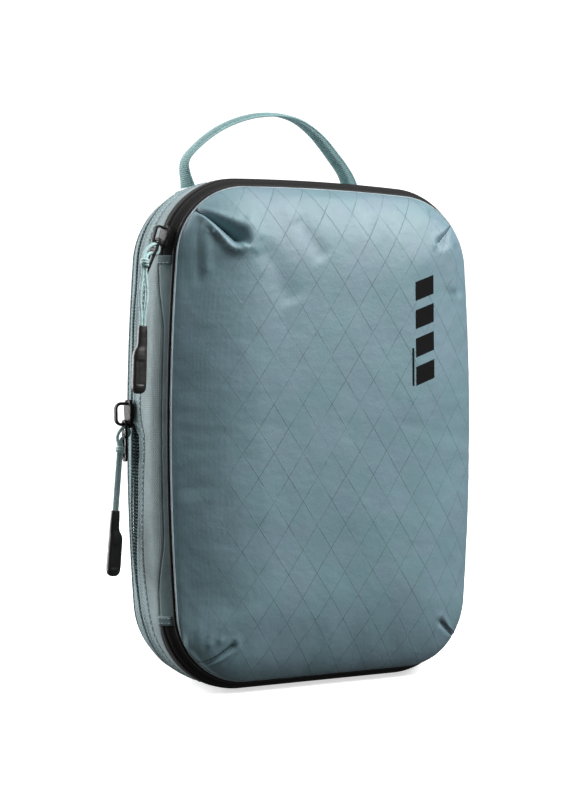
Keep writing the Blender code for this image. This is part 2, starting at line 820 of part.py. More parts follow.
def pull_cord_route(tab_frame, knot, grip_top, spread):
    """The doubled cord: up from the grip, through the knot, round the tab's side bar and back.

    The loop lies in a plane that leans out from the wall; its points are in the tab's frame.
    """
    side = PULL_SIDE_BAR
    across = Vector((0, 1, 0))
    hang = (grip_top - knot).normalized()
    drop = (grip_top - knot).length
    near = STRAND_OFFSET
    strands = []
    for sign in (1, -1):
        apart = across * (sign * near)
        strands.append(
            [
                grip_top + apart,
                grip_top + apart - hang * 0.004,
                knot + hang * (drop * 0.5) + across * (sign * (near + spread)),
                knot + hang * 0.0055 + apart,
                knot + hang * 0.0019 + apart,
                knot - hang * 0.0019 + apart,
                tab_frame @ Vector((side + sign * 0.0024, 0.0018, -0.0130)),
            ]
        )
    loop = [
        tab_frame @ Vector((side + 0.0029, -0.0001, -0.0100)),
        tab_frame @ Vector((side + 0.0023, -0.0022, -0.0073)),
        tab_frame @ Vector((side, -0.0032, -0.0061)),
        tab_frame @ Vector((side - 0.0023, -0.0022, -0.0073)),
        tab_frame @ Vector((side - 0.0029, -0.0001, -0.0100)),
    ]
    return strands[0] + loop + strands[1][::-1]


def build_knot(name, knot, hang, parent):
    """A collar round both strands, which stands for the knot."""
    across = Vector((0, 1, 0))
    out = hang.cross(across).normalized()

    def build(bm):
        inner_w = STRAND_OFFSET + CORD_RADIUS + KNOT_CLEARANCE
        inner_t = CORD_RADIUS + KNOT_CLEARANCE
        outer_w = inner_w + KNOT_WALL
        outer_t = inner_t + KNOT_WALL
        sections = []
        for k in range(12):
            a = math.tau * k / 12
            inner = across * (inner_w * math.cos(a) * 1.18) + out * (inner_t * math.sin(a) * 1.3)
            outer = across * (outer_w * math.cos(a)) + out * (outer_t * math.sin(a))
            sections.append(
                [
                    knot + inner - hang * KNOT_HALF,
                    knot + outer - hang * KNOT_HALF,
                    knot + outer * KNOT_BULGE,
                    knot + outer + hang * KNOT_HALF,
                    knot + inner + hang * KNOT_HALF,
                ]
            )
        loft(bm, sections, True)

    add_object(name, mesh_from(name, build, 60), CORD, parent)


def build_grip(name, top, direction, step_side, parent):
    """The moulded grip: a narrow neck that steps out on one side to a flat rounded body."""
    across = Vector((0, 1, 0))
    out = direction.cross(across).normalized()
    profile = (
        (0.0000, 0.0023, 0.0017, 0.0),
        (0.0030, 0.0024, 0.0018, 0.0),
        (0.0090, 0.0025, 0.0019, 0.0),
        (0.0115, 0.0031, 0.0023, 0.7),
        (0.0145, 0.0035, 0.0026, 1.0),
        (0.0280, 0.0037, 0.0028, 1.0),
        (0.0315, 0.0034, 0.0026, 1.0),
        (0.0329, 0.0026, 0.0019, 1.0),
        (0.0335, 0.0013, 0.0010, 1.0),
    )
    shift = GRIP_STEP * step_side

    def build(bm):
        sections = []
        for along, wide, thick, moved in profile:
            middle = top + direction * (GAP + along) + out * (shift * moved)
            ring = []
            for k in range(10):
                a = math.tau * k / 10
                ring.append(middle + out * (wide * math.cos(a)) + across * (thick * math.sin(a)))
            sections.append(ring)
        loft(bm, sections, False)

    add_object(name, mesh_from(name, build, 60), GRIP, parent)


def build_pull(prefix, origin, out, up, pivot, lean, knot_local, spread, step_side):
    """One slider with its tab, doubled cord, knot and grip."""
    frame = slider_frame(origin, out, up)
    slider = add_pivot(f"{prefix}_slider_path", pivot)
    build_slider(f"{prefix}_slider_body", frame, slider)
    tab_place = frame @ Vector((0, TAB_AXIS_OUT, TAB_AXIS_UP))
    tab_pivot = add_pivot(f"{prefix}_tab_axis", tab_place, slider)
    tilt = Matrix.Rotation(math.radians(lean), 3, out.cross(up))
    turned_out = tilt @ out
    turned_up = tilt @ up
    tab_frame = slider_frame(tab_place, turned_out, turned_up)
    build_pull_tab(f"{prefix}_pull_tab", tab_frame, tab_pivot)
    knot = tab_frame @ Vector(knot_local)
    hang = Vector((-math.sin(GRIP_LEAN), 0, -math.cos(GRIP_LEAN)))
    grip_top = knot + hang * GRIP_DROP
    swing_place = tab_frame @ Vector((PULL_SIDE_BAR, 0, LOOP_DROP))
    cord_pivot = add_pivot(f"{prefix}_cord_swing", swing_place, tab_pivot)
    route = smooth_route(pull_cord_route(tab_frame, knot, grip_top, spread), 72)
    tube_curve(f"{prefix}_pull_cord", route, CORD_RADIUS, CORD, cord_pivot)
    build_knot(f"{prefix}_pull_knot", knot, hang, cord_pivot)
    build_grip(f"{prefix}_pull_grip", grip_top, hang, step_side, cord_pivot)


def build_main_pull():
    """The main zip's slider, parked on the upper left corner and tipped with the wall."""
    angle = math.radians(MAIN_SLIDER_ANGLE)
    radial = Vector((-math.cos(angle), 0, math.sin(angle)))
    up = Vector((math.sin(angle), 0, math.cos(angle)))
    step = 0.001
    slope = (swell(MAIN_ZIP_LINE + step) - swell(MAIN_ZIP_LINE - step)) / (2 * step)
    out = (radial - Vector((0, slope, 0))).normalized()
    arc = UPPER_LEFT_ARC
    centre = Vector((arc.centre.x, FRONT_SEAM_Y + MAIN_ZIP_LINE, arc.centre.y + CENTRE_Z))
    origin = centre + radial * (arc.radius + swell(MAIN_ZIP_LINE))
    knot_local = (PULL_SIDE_BAR, 0.0042, -0.0172)
    build_pull("main", origin, out, up, centre, 8, knot_local, 0.0007, -1)


def build_compression_pull():
    """The compression zip's slider, parked halfway up the left side."""
    station = left_station(COMPRESSION_SLIDER_HEIGHT)
    out = Vector((-1, 0, 0))
    depth = zip_line(station)
    up = Vector((0, ZIP_LINE_SLOPE, 1)).normalized()
    origin = station.point(depth)
    knot_local = (PULL_SIDE_BAR, 0.0038, -0.0158)
    build_pull("compression", origin, out, up, origin, 0, knot_local, 0.0, 1)


build_main_pull()
build_compression_pull()
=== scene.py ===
"""Looks of the packing cube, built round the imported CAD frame."""

import json
import math
from contextlib import contextmanager

import bmesh
import bpy
import numpy as np
from mathutils import Matrix, Vector, noise
from mathutils.bvhtree import BVHTree
from mathutils.geometry import delaunay_2d_cdt
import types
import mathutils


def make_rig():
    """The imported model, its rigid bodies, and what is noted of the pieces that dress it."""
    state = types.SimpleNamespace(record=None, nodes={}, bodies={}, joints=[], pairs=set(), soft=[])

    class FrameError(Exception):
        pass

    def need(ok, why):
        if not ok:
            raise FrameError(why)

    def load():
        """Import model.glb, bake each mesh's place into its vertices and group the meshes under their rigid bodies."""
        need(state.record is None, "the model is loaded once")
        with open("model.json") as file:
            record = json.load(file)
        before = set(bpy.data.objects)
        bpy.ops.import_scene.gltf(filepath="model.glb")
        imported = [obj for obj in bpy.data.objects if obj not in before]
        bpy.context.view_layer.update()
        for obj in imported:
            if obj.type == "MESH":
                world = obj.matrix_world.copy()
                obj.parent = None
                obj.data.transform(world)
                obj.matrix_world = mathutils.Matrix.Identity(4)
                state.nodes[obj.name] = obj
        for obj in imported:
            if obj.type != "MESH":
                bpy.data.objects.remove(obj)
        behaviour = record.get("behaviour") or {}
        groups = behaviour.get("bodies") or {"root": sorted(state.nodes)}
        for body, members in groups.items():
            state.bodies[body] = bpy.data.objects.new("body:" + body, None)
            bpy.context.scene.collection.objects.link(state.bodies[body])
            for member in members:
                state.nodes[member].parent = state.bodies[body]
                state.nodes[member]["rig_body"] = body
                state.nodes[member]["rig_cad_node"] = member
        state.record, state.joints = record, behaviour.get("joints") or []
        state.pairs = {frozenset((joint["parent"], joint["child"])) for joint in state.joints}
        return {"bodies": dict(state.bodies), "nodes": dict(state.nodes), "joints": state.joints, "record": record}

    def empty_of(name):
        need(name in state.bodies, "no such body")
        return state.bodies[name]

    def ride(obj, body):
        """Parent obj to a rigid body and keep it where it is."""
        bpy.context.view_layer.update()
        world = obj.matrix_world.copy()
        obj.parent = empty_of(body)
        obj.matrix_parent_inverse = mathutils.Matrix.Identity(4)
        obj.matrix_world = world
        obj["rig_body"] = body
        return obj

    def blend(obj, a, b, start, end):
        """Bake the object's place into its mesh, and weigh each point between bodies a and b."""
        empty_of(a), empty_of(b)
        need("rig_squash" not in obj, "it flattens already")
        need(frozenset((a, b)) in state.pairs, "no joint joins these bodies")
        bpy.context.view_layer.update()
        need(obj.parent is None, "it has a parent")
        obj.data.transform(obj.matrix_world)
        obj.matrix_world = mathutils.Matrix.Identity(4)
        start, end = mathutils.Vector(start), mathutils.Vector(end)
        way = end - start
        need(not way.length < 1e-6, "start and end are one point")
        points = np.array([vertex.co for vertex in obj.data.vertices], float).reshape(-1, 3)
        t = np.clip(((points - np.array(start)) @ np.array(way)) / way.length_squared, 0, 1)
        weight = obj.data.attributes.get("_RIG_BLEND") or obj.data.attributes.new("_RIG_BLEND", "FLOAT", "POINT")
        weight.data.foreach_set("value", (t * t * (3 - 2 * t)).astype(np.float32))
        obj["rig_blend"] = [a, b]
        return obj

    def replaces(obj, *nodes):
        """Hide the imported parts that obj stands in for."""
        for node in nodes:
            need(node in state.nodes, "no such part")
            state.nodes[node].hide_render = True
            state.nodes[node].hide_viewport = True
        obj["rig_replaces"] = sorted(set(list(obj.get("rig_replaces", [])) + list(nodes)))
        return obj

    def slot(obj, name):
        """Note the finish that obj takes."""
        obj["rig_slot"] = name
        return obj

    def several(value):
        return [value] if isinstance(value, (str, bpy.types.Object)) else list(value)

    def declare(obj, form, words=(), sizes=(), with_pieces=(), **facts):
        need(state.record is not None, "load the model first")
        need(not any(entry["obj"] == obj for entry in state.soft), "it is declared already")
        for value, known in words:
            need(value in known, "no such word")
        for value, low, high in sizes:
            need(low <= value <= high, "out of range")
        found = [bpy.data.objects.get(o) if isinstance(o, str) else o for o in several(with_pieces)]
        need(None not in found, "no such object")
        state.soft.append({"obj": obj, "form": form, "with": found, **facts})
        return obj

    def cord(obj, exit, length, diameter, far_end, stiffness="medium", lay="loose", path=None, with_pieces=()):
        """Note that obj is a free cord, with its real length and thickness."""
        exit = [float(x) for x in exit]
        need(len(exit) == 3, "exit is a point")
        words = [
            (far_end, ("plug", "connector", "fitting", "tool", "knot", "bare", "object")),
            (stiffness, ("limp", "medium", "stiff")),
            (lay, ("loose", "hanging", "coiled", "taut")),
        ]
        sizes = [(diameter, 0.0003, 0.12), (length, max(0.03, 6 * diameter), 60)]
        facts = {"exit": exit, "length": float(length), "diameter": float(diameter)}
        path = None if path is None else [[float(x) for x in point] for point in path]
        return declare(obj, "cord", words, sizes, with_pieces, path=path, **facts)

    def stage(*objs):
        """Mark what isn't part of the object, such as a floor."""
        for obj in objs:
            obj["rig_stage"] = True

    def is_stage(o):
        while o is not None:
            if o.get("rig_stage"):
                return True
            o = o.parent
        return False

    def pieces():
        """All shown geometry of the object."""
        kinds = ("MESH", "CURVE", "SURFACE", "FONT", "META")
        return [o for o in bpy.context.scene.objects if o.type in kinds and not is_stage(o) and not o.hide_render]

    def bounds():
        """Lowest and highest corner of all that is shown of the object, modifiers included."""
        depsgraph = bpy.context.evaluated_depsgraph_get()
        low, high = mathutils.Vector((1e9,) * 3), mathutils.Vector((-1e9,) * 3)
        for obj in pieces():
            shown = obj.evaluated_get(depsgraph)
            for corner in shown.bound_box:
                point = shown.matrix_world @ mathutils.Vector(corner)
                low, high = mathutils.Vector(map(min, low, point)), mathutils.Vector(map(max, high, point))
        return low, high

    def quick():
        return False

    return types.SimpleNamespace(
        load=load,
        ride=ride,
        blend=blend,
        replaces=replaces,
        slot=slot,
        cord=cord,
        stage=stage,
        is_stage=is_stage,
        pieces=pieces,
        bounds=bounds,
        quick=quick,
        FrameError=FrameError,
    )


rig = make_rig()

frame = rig.load()
CAD_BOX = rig.bounds()

# ---- the case, in metres, shaped as the CAD has it -------------------
HALF_WIDTH = 0.087
HALF_HEIGHT = 0.125
CORNER_RADIUS = 0.038
SIDE_BOW_RADIUS = 1.20
TOP_BOW_RADIUS = 1.05
FLAT_RADIUS = 1000.0
WALL_SWELL = 0.006
SWELL_FRONT = 0.013
SWELL_BACK = 0.038
WALL_END = 0.052
FRONT_DOME = 0.019
REAR_DOME = 0.011
FRONT_SEAM_Y = -0.022
CENTRE_Z = HALF_HEIGHT + WALL_SWELL

# ---- zips and seams, as depths behind the front seam -----------------
MAIN_ZIP_LINE = 0.0066
MAIN_ZIP_BACK = 0.0114
NARROW_ZIP_BACK = 0.0088     # where the tape passes under the spine's end tabs
SPINE_WAIST = 0.0040
# The compression zip's line, as pairs of height and depth: on the left it wanders where the
# zip stands open under its slider, on the right it lies smooth.
LEFT_ZIP_LINE = (
    (-0.125, 0.0300), (-0.107, 0.0313), (-0.0975, 0.0322), (-0.0855, 0.0346), (-0.0735, 0.0362),
    (-0.0634, 0.0368), (-0.0334, 0.0337), (-0.0083, 0.0312), (-0.0010, 0.0316), (0.0045, 0.0352),
    (0.0097, 0.0372), (0.030, 0.0370), (0.060, 0.0362), (0.100, 0.0350), (0.125, 0.0345),
)
RIGHT_ZIP_LINE = (
    (-0.125, 0.0300), (-0.100, 0.0318), (-0.060, 0.0344), (0.0, 0.0360), (0.060, 0.0358), (0.125, 0.0345),
)
ZIP_LINE_SLOPE = 0.043       # how far the zip leans back at the compression slider
ZIP_TAPE_WIDTH = 0.0115
NARROWEST_GUSSET = 0.003
PLEAT_FRONT = 0.0255
PLEAT_BACK = 0.0412
REAR_TAPE_END = 0.0464
REAR_SEAM = 0.0477
REAR_PANEL_EDGE = 0.0492
SPINE_TOP = 0.0885           # heights from the middle
SPINE_BOTTOM = -0.0945
TAB_LENGTH = 0.0044
LEFT_SIDE = -0.06            # further left than this, a place lies on the hinge's side

# ---- camera, from the left front, level with the case ----------------
CAMERA_YAW = math.radians(26.6)
CAMERA_RISE = math.radians(0.78)
CAMERA_DISTANCE = 0.7726
CAMERA_LENS = 67.87
CAMERA_TARGET = Vector((-0.02222, -0.022, 0.14775))

# ---- fabric and thread sizes -----------------------------------------
TOOTH_PITCH = 0.0013
STEPS_PER_TOOTH = 3
TOOTH_SHOWN = 0.0017         # pitch of the tooth ends that show in the slit
FABRIC_STEP = 0.0015
STITCH_LENGTH = 0.0021
STITCH_PITCH = 0.0029
THREAD_RADIUS = 0.0002
DIAMOND_WIDTH = 0.0160       # the thread pattern of the panels, in x and z
DIAMOND_HEIGHT = 0.0243
DIAMOND_PLACE = (-0.0075, 0.1704)
FABRIC = 0.0007              # thicknesses
TAPE = 0.0006
BACKWARDS = Vector((0, 1, 0))


# ---- outline ---------------------------------------------------------
def corner_centre(side_x, side_radius, cap_z, cap_radius, sign_x, sign_z):
    """Centre of the corner arc that touches a side arc and a top or bottom arc."""
    side = Vector((sign_x * (side_x - side_radius), 0.0))
    cap = Vector((0.0, sign_z * (cap_z - cap_radius)))
    reach_side = side_radius - CORNER_RADIUS
    reach_cap = cap_radius - CORNER_RADIUS
    between = cap - side
    span = between.length
    along = (reach_side**2 - reach_cap**2 + span**2) / (2 * span)
    across = math.sqrt(reach_side**2 - along**2)
    direction = between / span
    normal = Vector((-direction.y, direction.x))
    options = [side + direction * along + normal * (across * k) for k in (1, -1)]
    return max(options, key=lambda c: c.x * sign_x + c.y * sign_z)


def angle_towards(a, b):
    return math.atan2(b.y - a.y, b.x - a.x) % math.tau


def outline_arcs():
    """The front seam's arcs (centre, radius, start, end), from the left middle, clockwise."""
    left = Vector((-(HALF_WIDTH - SIDE_BOW_RADIUS), 0.0))
    top = Vector((0.0, HALF_HEIGHT - TOP_BOW_RADIUS))
    bottom = Vector((0.0, -(HALF_HEIGHT - FLAT_RADIUS)))
    upper_left = corner_centre(HALF_WIDTH, SIDE_BOW_RADIUS, HALF_HEIGHT, TOP_BOW_RADIUS, -1, 1)
    lower_left = corner_centre(HALF_WIDTH, SIDE_BOW_RADIUS, HALF_HEIGHT, FLAT_RADIUS, -1, -1)
    ring = [
        (left, SIDE_BOW_RADIUS),
        (upper_left, CORNER_RADIUS),
        (top, TOP_BOW_RADIUS),
        (Vector((-upper_left.x, upper_left.y)), CORNER_RADIUS),
        (-left, SIDE_BOW_RADIUS),
        (Vector((-lower_left.x, lower_left.y)), CORNER_RADIUS),
        (bottom, FLAT_RADIUS),
        (lower_left, CORNER_RADIUS),
        (left, SIDE_BOW_RADIUS),
    ]
    joints = [math.pi]
    for k in range(len(ring) - 1):
        side, corner = (ring[k], ring[k + 1]) if k % 2 == 0 else (ring[k + 1], ring[k])
        turn = angle_towards(side[0], corner[0])
        joints.append(turn if k < 4 else turn - math.tau)
    joints.append(-math.pi)
    return [(*arc, joints[k], joints[k + 1]) for k, arc in enumerate(ring)]


ARCS = outline_arcs()
ARC_LENGTHS = [radius * abs(end - start) for _, radius, start, end in ARCS]
ARC_STARTS = [sum(ARC_LENGTHS[:k]) for k in range(len(ARCS))]
PERIMETER = sum(ARC_LENGTHS)


class Station:
    """A place on the outline, a distance along the front seam from the left middle."""

    def __init__(self, walk):
        self.walk = walk
        inside = walk % PERIMETER
        number = max(k for k in range(len(ARCS)) if ARC_STARTS[k] <= inside)
        centre, self.radius, start, end = ARCS[number]
        share = (inside - ARC_STARTS[number]) / ARC_LENGTHS[number]
        angle = start + (end - start) * share
        self.centre = centre
        self.cosine = math.cos(angle)
        self.sine = math.sin(angle)
        self.height = centre.y + self.radius * self.sine
        self.across = centre.x + self.radius * self.cosine

    def point(self, depth, lift=0.0):
        """World point at a depth behind the front seam, lifted off the wall's outer face."""
        reach = self.radius + swell(depth) + lift
        x = self.centre.x + reach * self.cosine
        z = self.centre.y + reach * self.sine + CENTRE_Z
        return Vector((x, FRONT_SEAM_Y + depth, z))

    def out(self):
        return Vector((self.cosine, 0.0, self.sine))


def swell(depth):
    """How far the wall stands outside the front seam at a depth behind it."""
    if depth < SWELL_FRONT:
        share = (SWELL_FRONT - max(depth, 0.0)) / SWELL_FRONT
        return WALL_SWELL * (1 - share**2) ** 1.2
    if depth > SWELL_BACK:
        share = min(1.0, (depth - SWELL_BACK) / (WALL_END - SWELL_BACK))
        return WALL_SWELL * (1 - share**2) ** 0.8
    return WALL_SWELL


def smooth_step(value, low, high):
    t = min(1.0, max(0.0, (value - low) / (high - low)))
    return t * t * (3 - 2 * t)


def left_walk(height):
    """How far along the seam the left side reaches a height over the middle."""
    for number in (0, 1, 7, 8):
        centre, radius, start, end = ARCS[number]
        sine = (height - centre.y) / radius
        if abs(sine) > 1:
            continue
        angle = math.pi - math.asin(sine)
        if start < 0:
            angle -= math.tau
        share = (angle - start) / (end - start)
        if -1e-6 <= share <= 1 + 1e-6:
            return ARC_STARTS[number] + ARC_LENGTHS[number] * share
    raise ValueError("no place at that height")


def even_stations(low, high, step):
    count = max(2, round((high - low) / step))
    return [Station(low + (high - low) * k / count) for k in range(count + 1)]


def ring_stations(step):
    count = round(PERIMETER / step)
    return [Station(PERIMETER * k / count) for k in range(count)]


ZIP_START = left_walk(SPINE_TOP)
ZIP_END = left_walk(SPINE_BOTTOM)
TOOTH_STEP = TOOTH_PITCH / STEPS_PER_TOOTH
TOOTH_RING = ring_stations(TOOTH_STEP)
FABRIC_RING = ring_stations(FABRIC_STEP)
ZIP = even_stations(ZIP_START, ZIP_END, TOOTH_STEP)
SPINE = even_stations(ZIP_END, PERIMETER + ZIP_START, FABRIC_STEP)


def along_table(value, table):
    """The second of a table's pairs, in between where the first is the value."""
    places, values = zip(*table)
    return float(np.interp(value, places, values))


def spine_back(station):
    """Depth of the spine's or main zip's back edge: narrow halfway up the spine, wide past it."""
    if station.across > LEFT_SIDE:
        return MAIN_ZIP_BACK
    height = abs(station.height)
    widening = (NARROW_ZIP_BACK - SPINE_WAIST) * smooth_step(height, 0.048, 0.084)
    return SPINE_WAIST + widening + (MAIN_ZIP_BACK - NARROW_ZIP_BACK) * smooth_step(height, 0.088, 0.108)


def zip_line(station):
    """Depth of the line between the compression zip's two halves."""
    return along_table(station.height, RIGHT_ZIP_LINE if station.across > 0 else LEFT_ZIP_LINE)


def gusset_back(station):
    """Depth where the gusset ends and the compression zip's tape starts."""
    narrowest = spine_back(station) + NARROWEST_GUSSET
    return max(zip_line(station) - ZIP_TAPE_WIDTH, narrowest)


def fixed(depth):
    """A depth that is the same all round."""
    return lambda station: depth


def past(edge, extra):
    """A depth that lies a little behind another one all round."""
    return lambda station: edge(station) + extra


# ---- objects and meshes ----------------------------------------------
def in_scene(name, data):
    """A new object in the scene's own collection."""
    thing = bpy.data.objects.new(name, data)
    bpy.context.scene.collection.objects.link(thing)
    return thing


@contextmanager
def editing(mesh):
    """The mesh as a bmesh, which is written back at the end."""
    bm = bmesh.new()
    bm.from_mesh(mesh)
    yield bm
    bm.to_mesh(mesh)
    bm.free()


def applied(holder):
    """The object's shape as a mesh of its own, in place of the object."""
    bpy.context.view_layer.update()
    graph = bpy.context.evaluated_depsgraph_get()
    mesh = bpy.data.meshes.new_from_object(holder.evaluated_get(graph))
    bpy.data.objects.remove(holder)
    return mesh


# ---- camera, lights and floor ----------------------------------------
def build_camera():
    back = Vector(
        (
            -math.sin(CAMERA_YAW) * math.cos(CAMERA_RISE),
            -math.cos(CAMERA_YAW) * math.cos(CAMERA_RISE),
            math.sin(CAMERA_RISE),
        )
    )
    data = bpy.data.cameras.new("camera")
    data.lens = CAMERA_LENS
    data.clip_start = 0.01
    camera = in_scene("camera", data)
    camera.location = CAMERA_TARGET + back * CAMERA_DISTANCE
    camera.rotation_euler = (-back).to_track_quat("-Z", "Y").to_euler()
    bpy.context.scene.camera = camera


def area_light(name, place, aim, width, height, power):
    data = bpy.data.lights.new(name, "AREA")
    data.shape = "RECTANGLE"
    data.size = width
    data.size_y = height
    data.energy = power
    light = in_scene(name, data)
    light.location = place
    light.rotation_euler = (Vector(aim) - Vector(place)).to_track_quat("-Z", "Y").to_euler()


def build_studio():
    middle = (0.0, 0.0, CENTRE_Z)
    area_light("key", (0.66, -0.90, 1.24), middle, 1.0, 1.0, 44.0)
    area_light("back_left", (-1.05, 1.16, 0.55), middle, 1.5, 1.5, 56.0)
    area_light("top", (0.0, 0.10, 1.20), middle, 0.8, 0.6, 2.0)
    world = bpy.data.worlds.new("studio")
    bpy.context.scene.world = world
    world.use_nodes = True
    background = world.node_tree.nodes["Background"]
    background.inputs["Color"].default_value = (1.0, 1.0, 1.0, 1.0)
    background.inputs["Strength"].default_value = 0.13
    bpy.context.scene.view_settings.view_transform = "Standard"


def build_floor():
    """A pale round floor that curves up into a backdrop all round."""
    flat = 1.4
    radius = 0.8
    wall_top = 4.0
    bend_steps = 12
    sides = 96
    profile = []
    for k in range(bend_steps + 1):
        bend = math.radians(90 * k / bend_steps)
        profile.append((flat + radius * math.sin(bend), radius * (1 - math.cos(bend))))
    profile.append((flat + radius, wall_top))
    verts = []
    for across, height in profile:
        for k in range(sides):
            turn = math.tau * k / sides
            verts.append((across * math.cos(turn), across * math.sin(turn), height))
    faces = [tuple(range(sides))]
    for ring in range(len(profile) - 1):
        for k in range(sides):
            low = ring * sides
            ahead = (k + 1) % sides
            faces.append((low + k, low + sides + k, low + sides + ahead, low + ahead))
    mesh = bpy.data.meshes.new("floor")
    mesh.from_pydata(verts, [], faces)
    mesh.shade_smooth()
    floor = in_scene("floor", mesh)
    pale = bpy.data.materials.new("pale_floor")
    pale.use_nodes = True
    shader = pale.node_tree.nodes["Principled BSDF"]
    shader.inputs["Base Color"].default_value = (0.92, 0.92, 0.92, 1.0)
    shader.inputs["Roughness"].default_value = 0.9
    shader.inputs["Emission Color"].default_value = (1.0, 1.0, 1.0, 1.0)
    shader.inputs["Emission Strength"].default_value = 0.62
    mesh.materials.append(pale)
    floor.visible_diffuse = False
    floor.visible_glossy = False
    floor.visible_shadow = False
    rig.stage(floor)


build_camera()
build_studio()
build_floor()


# ---- materials -------------------------------------------------------
class Surface:
    """One node-based material, with short calls for the nodes it uses."""

    def __init__(self, name, roughness, specular, sheen=0.0, sheen_roughness=0.5):
        self.material = bpy.data.materials.new(name)
        self.material.use_nodes = True
        self.tree = self.material.node_tree
        self.shader = self.tree.nodes["Principled BSDF"]
        self.shader.inputs["Roughness"].default_value = roughness
        self.shader.inputs["Specular IOR Level"].default_value = specular
        self.shader.inputs["Sheen Weight"].default_value = sheen
        self.shader.inputs["Sheen Roughness"].default_value = sheen_roughness

    def node(self, kind, inputs=None, **settings):
        made = self.tree.nodes.new(kind)
        for key, value in settings.items():
            setattr(made, key, value)
        for key, value in (inputs or {}).items():
            if isinstance(value, bpy.types.NodeSocket):
                self.tree.links.new(value, made.inputs[key])
            else:
                made.inputs[key].default_value = value
        return made

    def math(self, operation, *values):
        return self.node("ShaderNodeMath", dict(enumerate(values)), operation=operation).outputs[0]

    def times(self, first, second):
        return self.math("MULTIPLY", first, second)

    def plus(self, first, second):
        return self.math("ADD", first, second)

    def place(self):
        """The point on the piece in metres."""
        return self.node("ShaderNodeTexCoord").outputs["Object"]

    def weave(self):
        """Metres along the seam and across the band."""
        return self.node("ShaderNodeUVMap", uv_map="weave").outputs["UV"]

    def split(self, vector):
        return self.node("ShaderNodeSeparateXYZ", {0: vector}).outputs

    def noise(self, vector, size, detail=3.0, rough=0.55):
        inputs = {"Vector": vector, "Scale": 1.0 / size, "Detail": detail, "Roughness": rough}
        return self.node("ShaderNodeTexNoise", inputs).outputs["Fac"]

    def wave(self, value, period):
        """A sine of a length, from 0 to 1."""
        wave = self.math("SINE", self.times(value, math.tau / period))
        inputs = {"Value": wave, "From Min": -1.0, "From Max": 1.0}
        return self.node("ShaderNodeMapRange", inputs).outputs[0]

    def ramp(self, value, low, high, start=0.0, end=1.0):
        inputs = {"Value": value, "From Min": low, "From Max": high, "To Min": start, "To Max": end}
        return self.node("ShaderNodeMapRange", inputs, interpolation_type="SMOOTHSTEP").outputs[0]

    def mix(self, share, first, second):
        made = self.node("ShaderNodeMix", data_type="RGBA")
        for key, value in ((0, share), (6, first), (7, second)):
            if isinstance(value, bpy.types.NodeSocket):
                self.tree.links.new(value, made.inputs[key])
            else:
                made.inputs[key].default_value = value
        return made.outputs[2]

    def colour(self, value):
        self.tree.links.new(value, self.shader.inputs["Base Color"])

    def rough(self, value):
        self.tree.links.new(value, self.shader.inputs["Roughness"])

    def bump(self, height, distance, strength=1.0):
        """Chains a bump onto the shader's normal."""
        socket = self.shader.inputs["Normal"]
        inputs = {"Height": height, "Distance": distance, "Strength": strength}
        if socket.links:
            inputs["Normal"] = socket.links[0].from_socket
        made = self.node("ShaderNodeBump", inputs)
        self.tree.links.new(made.outputs[0], socket)


def rgb(red, green, blue):
    return (red, green, blue, 1.0)


def shaded(surface, base, dark, light, share):
    """A colour that wanders between a dark and a light tint of itself."""
    low = rgb(*(c * dark for c in base))
    high = rgb(*(c * light for c in base))
    return surface.mix(share, low, high)


def ripstop_material():
    """Coated ripstop: a smooth fine weave with thin diamond threads."""
    s = Surface("coated_ripstop", 0.46, 0.5)
    place = s.place()
    x, _, z = s.split(place)
    cloud = s.noise(place, 0.03)
    tint = s.noise(s.place(), 0.022, 2.0)
    lean = s.times(s.math("SUBTRACT", x, DIAMOND_PLACE[0]), 1.0 / DIAMOND_WIDTH)
    rise = s.times(s.math("SUBTRACT", z, DIAMOND_PLACE[1]), 1.0 / DIAMOND_HEIGHT)
    lines = None
    for operation in ("ADD", "SUBTRACT"):
        run = s.math(operation, lean, rise)
        near = s.math("PINGPONG", run, 0.5)
        line = s.ramp(near, 0.004, 0.020, 1.0, 0.0)
        lines = line if lines is None else s.math("MAXIMUM", lines, line)
    worn = s.ramp(s.noise(place, 0.012, 4.0), 0.30, 0.62, 0.35, 1.0)
    lines = s.times(lines, worn)
    lines = s.times(lines, s.ramp(x, -0.078, -0.042, 0.12, 1.0))
    teal = shaded(s, (0.148, 0.246, 0.278), 0.93, 1.06, cloud)
    grey = shaded(s, (0.160, 0.244, 0.288), 0.93, 1.06, cloud)
    ground = s.mix(s.ramp(tint, 0.38, 0.62), teal, grey)
    s.colour(s.mix(s.times(lines, 0.62), ground, rgb(0.063, 0.09912, 0.11256)))
    s.rough(s.ramp(s.noise(place, 0.008), 0.2, 0.8, 0.42, 0.51))
    weave = s.plus(s.wave(x, 0.00055), s.wave(z, 0.00055))
    s.bump(weave, 0.00005, 0.6)
    s.bump(s.noise(place, 0.0011, 2.0), 0.00008, 0.6)
    s.bump(s.noise(place, 0.0035, 4.0), 0.00034, 0.5)
    s.bump(s.noise(place, 0.012, 3.0), 0.0008, 0.35)
    s.bump(lines, 0.00012, 0.8)
    return s.material


def cloth_material(name, base, pitch, depth, roughness=0.78):
    """A matt woven band: fine threads both ways and a soft cloudiness."""
    s = Surface(name, roughness, 0.2, sheen=0.05)
    along, across, _ = s.split(s.weave())
    place = s.place()
    rib = s.wave(s.plus(along, s.times(across, 1.4)), pitch * 1.5)
    grain = s.plus(s.times(s.noise(place, 0.0011), 0.5), s.times(rib, 0.5))
    share = s.plus(s.noise(place, 0.014), grain)
    s.colour(shaded(s, base, 0.62, 1.26, s.ramp(share, 0.45, 1.45)))
    threads = s.times(s.wave(along, pitch), s.wave(across, pitch))
    s.bump(threads, depth, 0.8)
    s.bump(s.noise(place, 0.004, 4.0), 0.0002, 0.4)
    return s.material


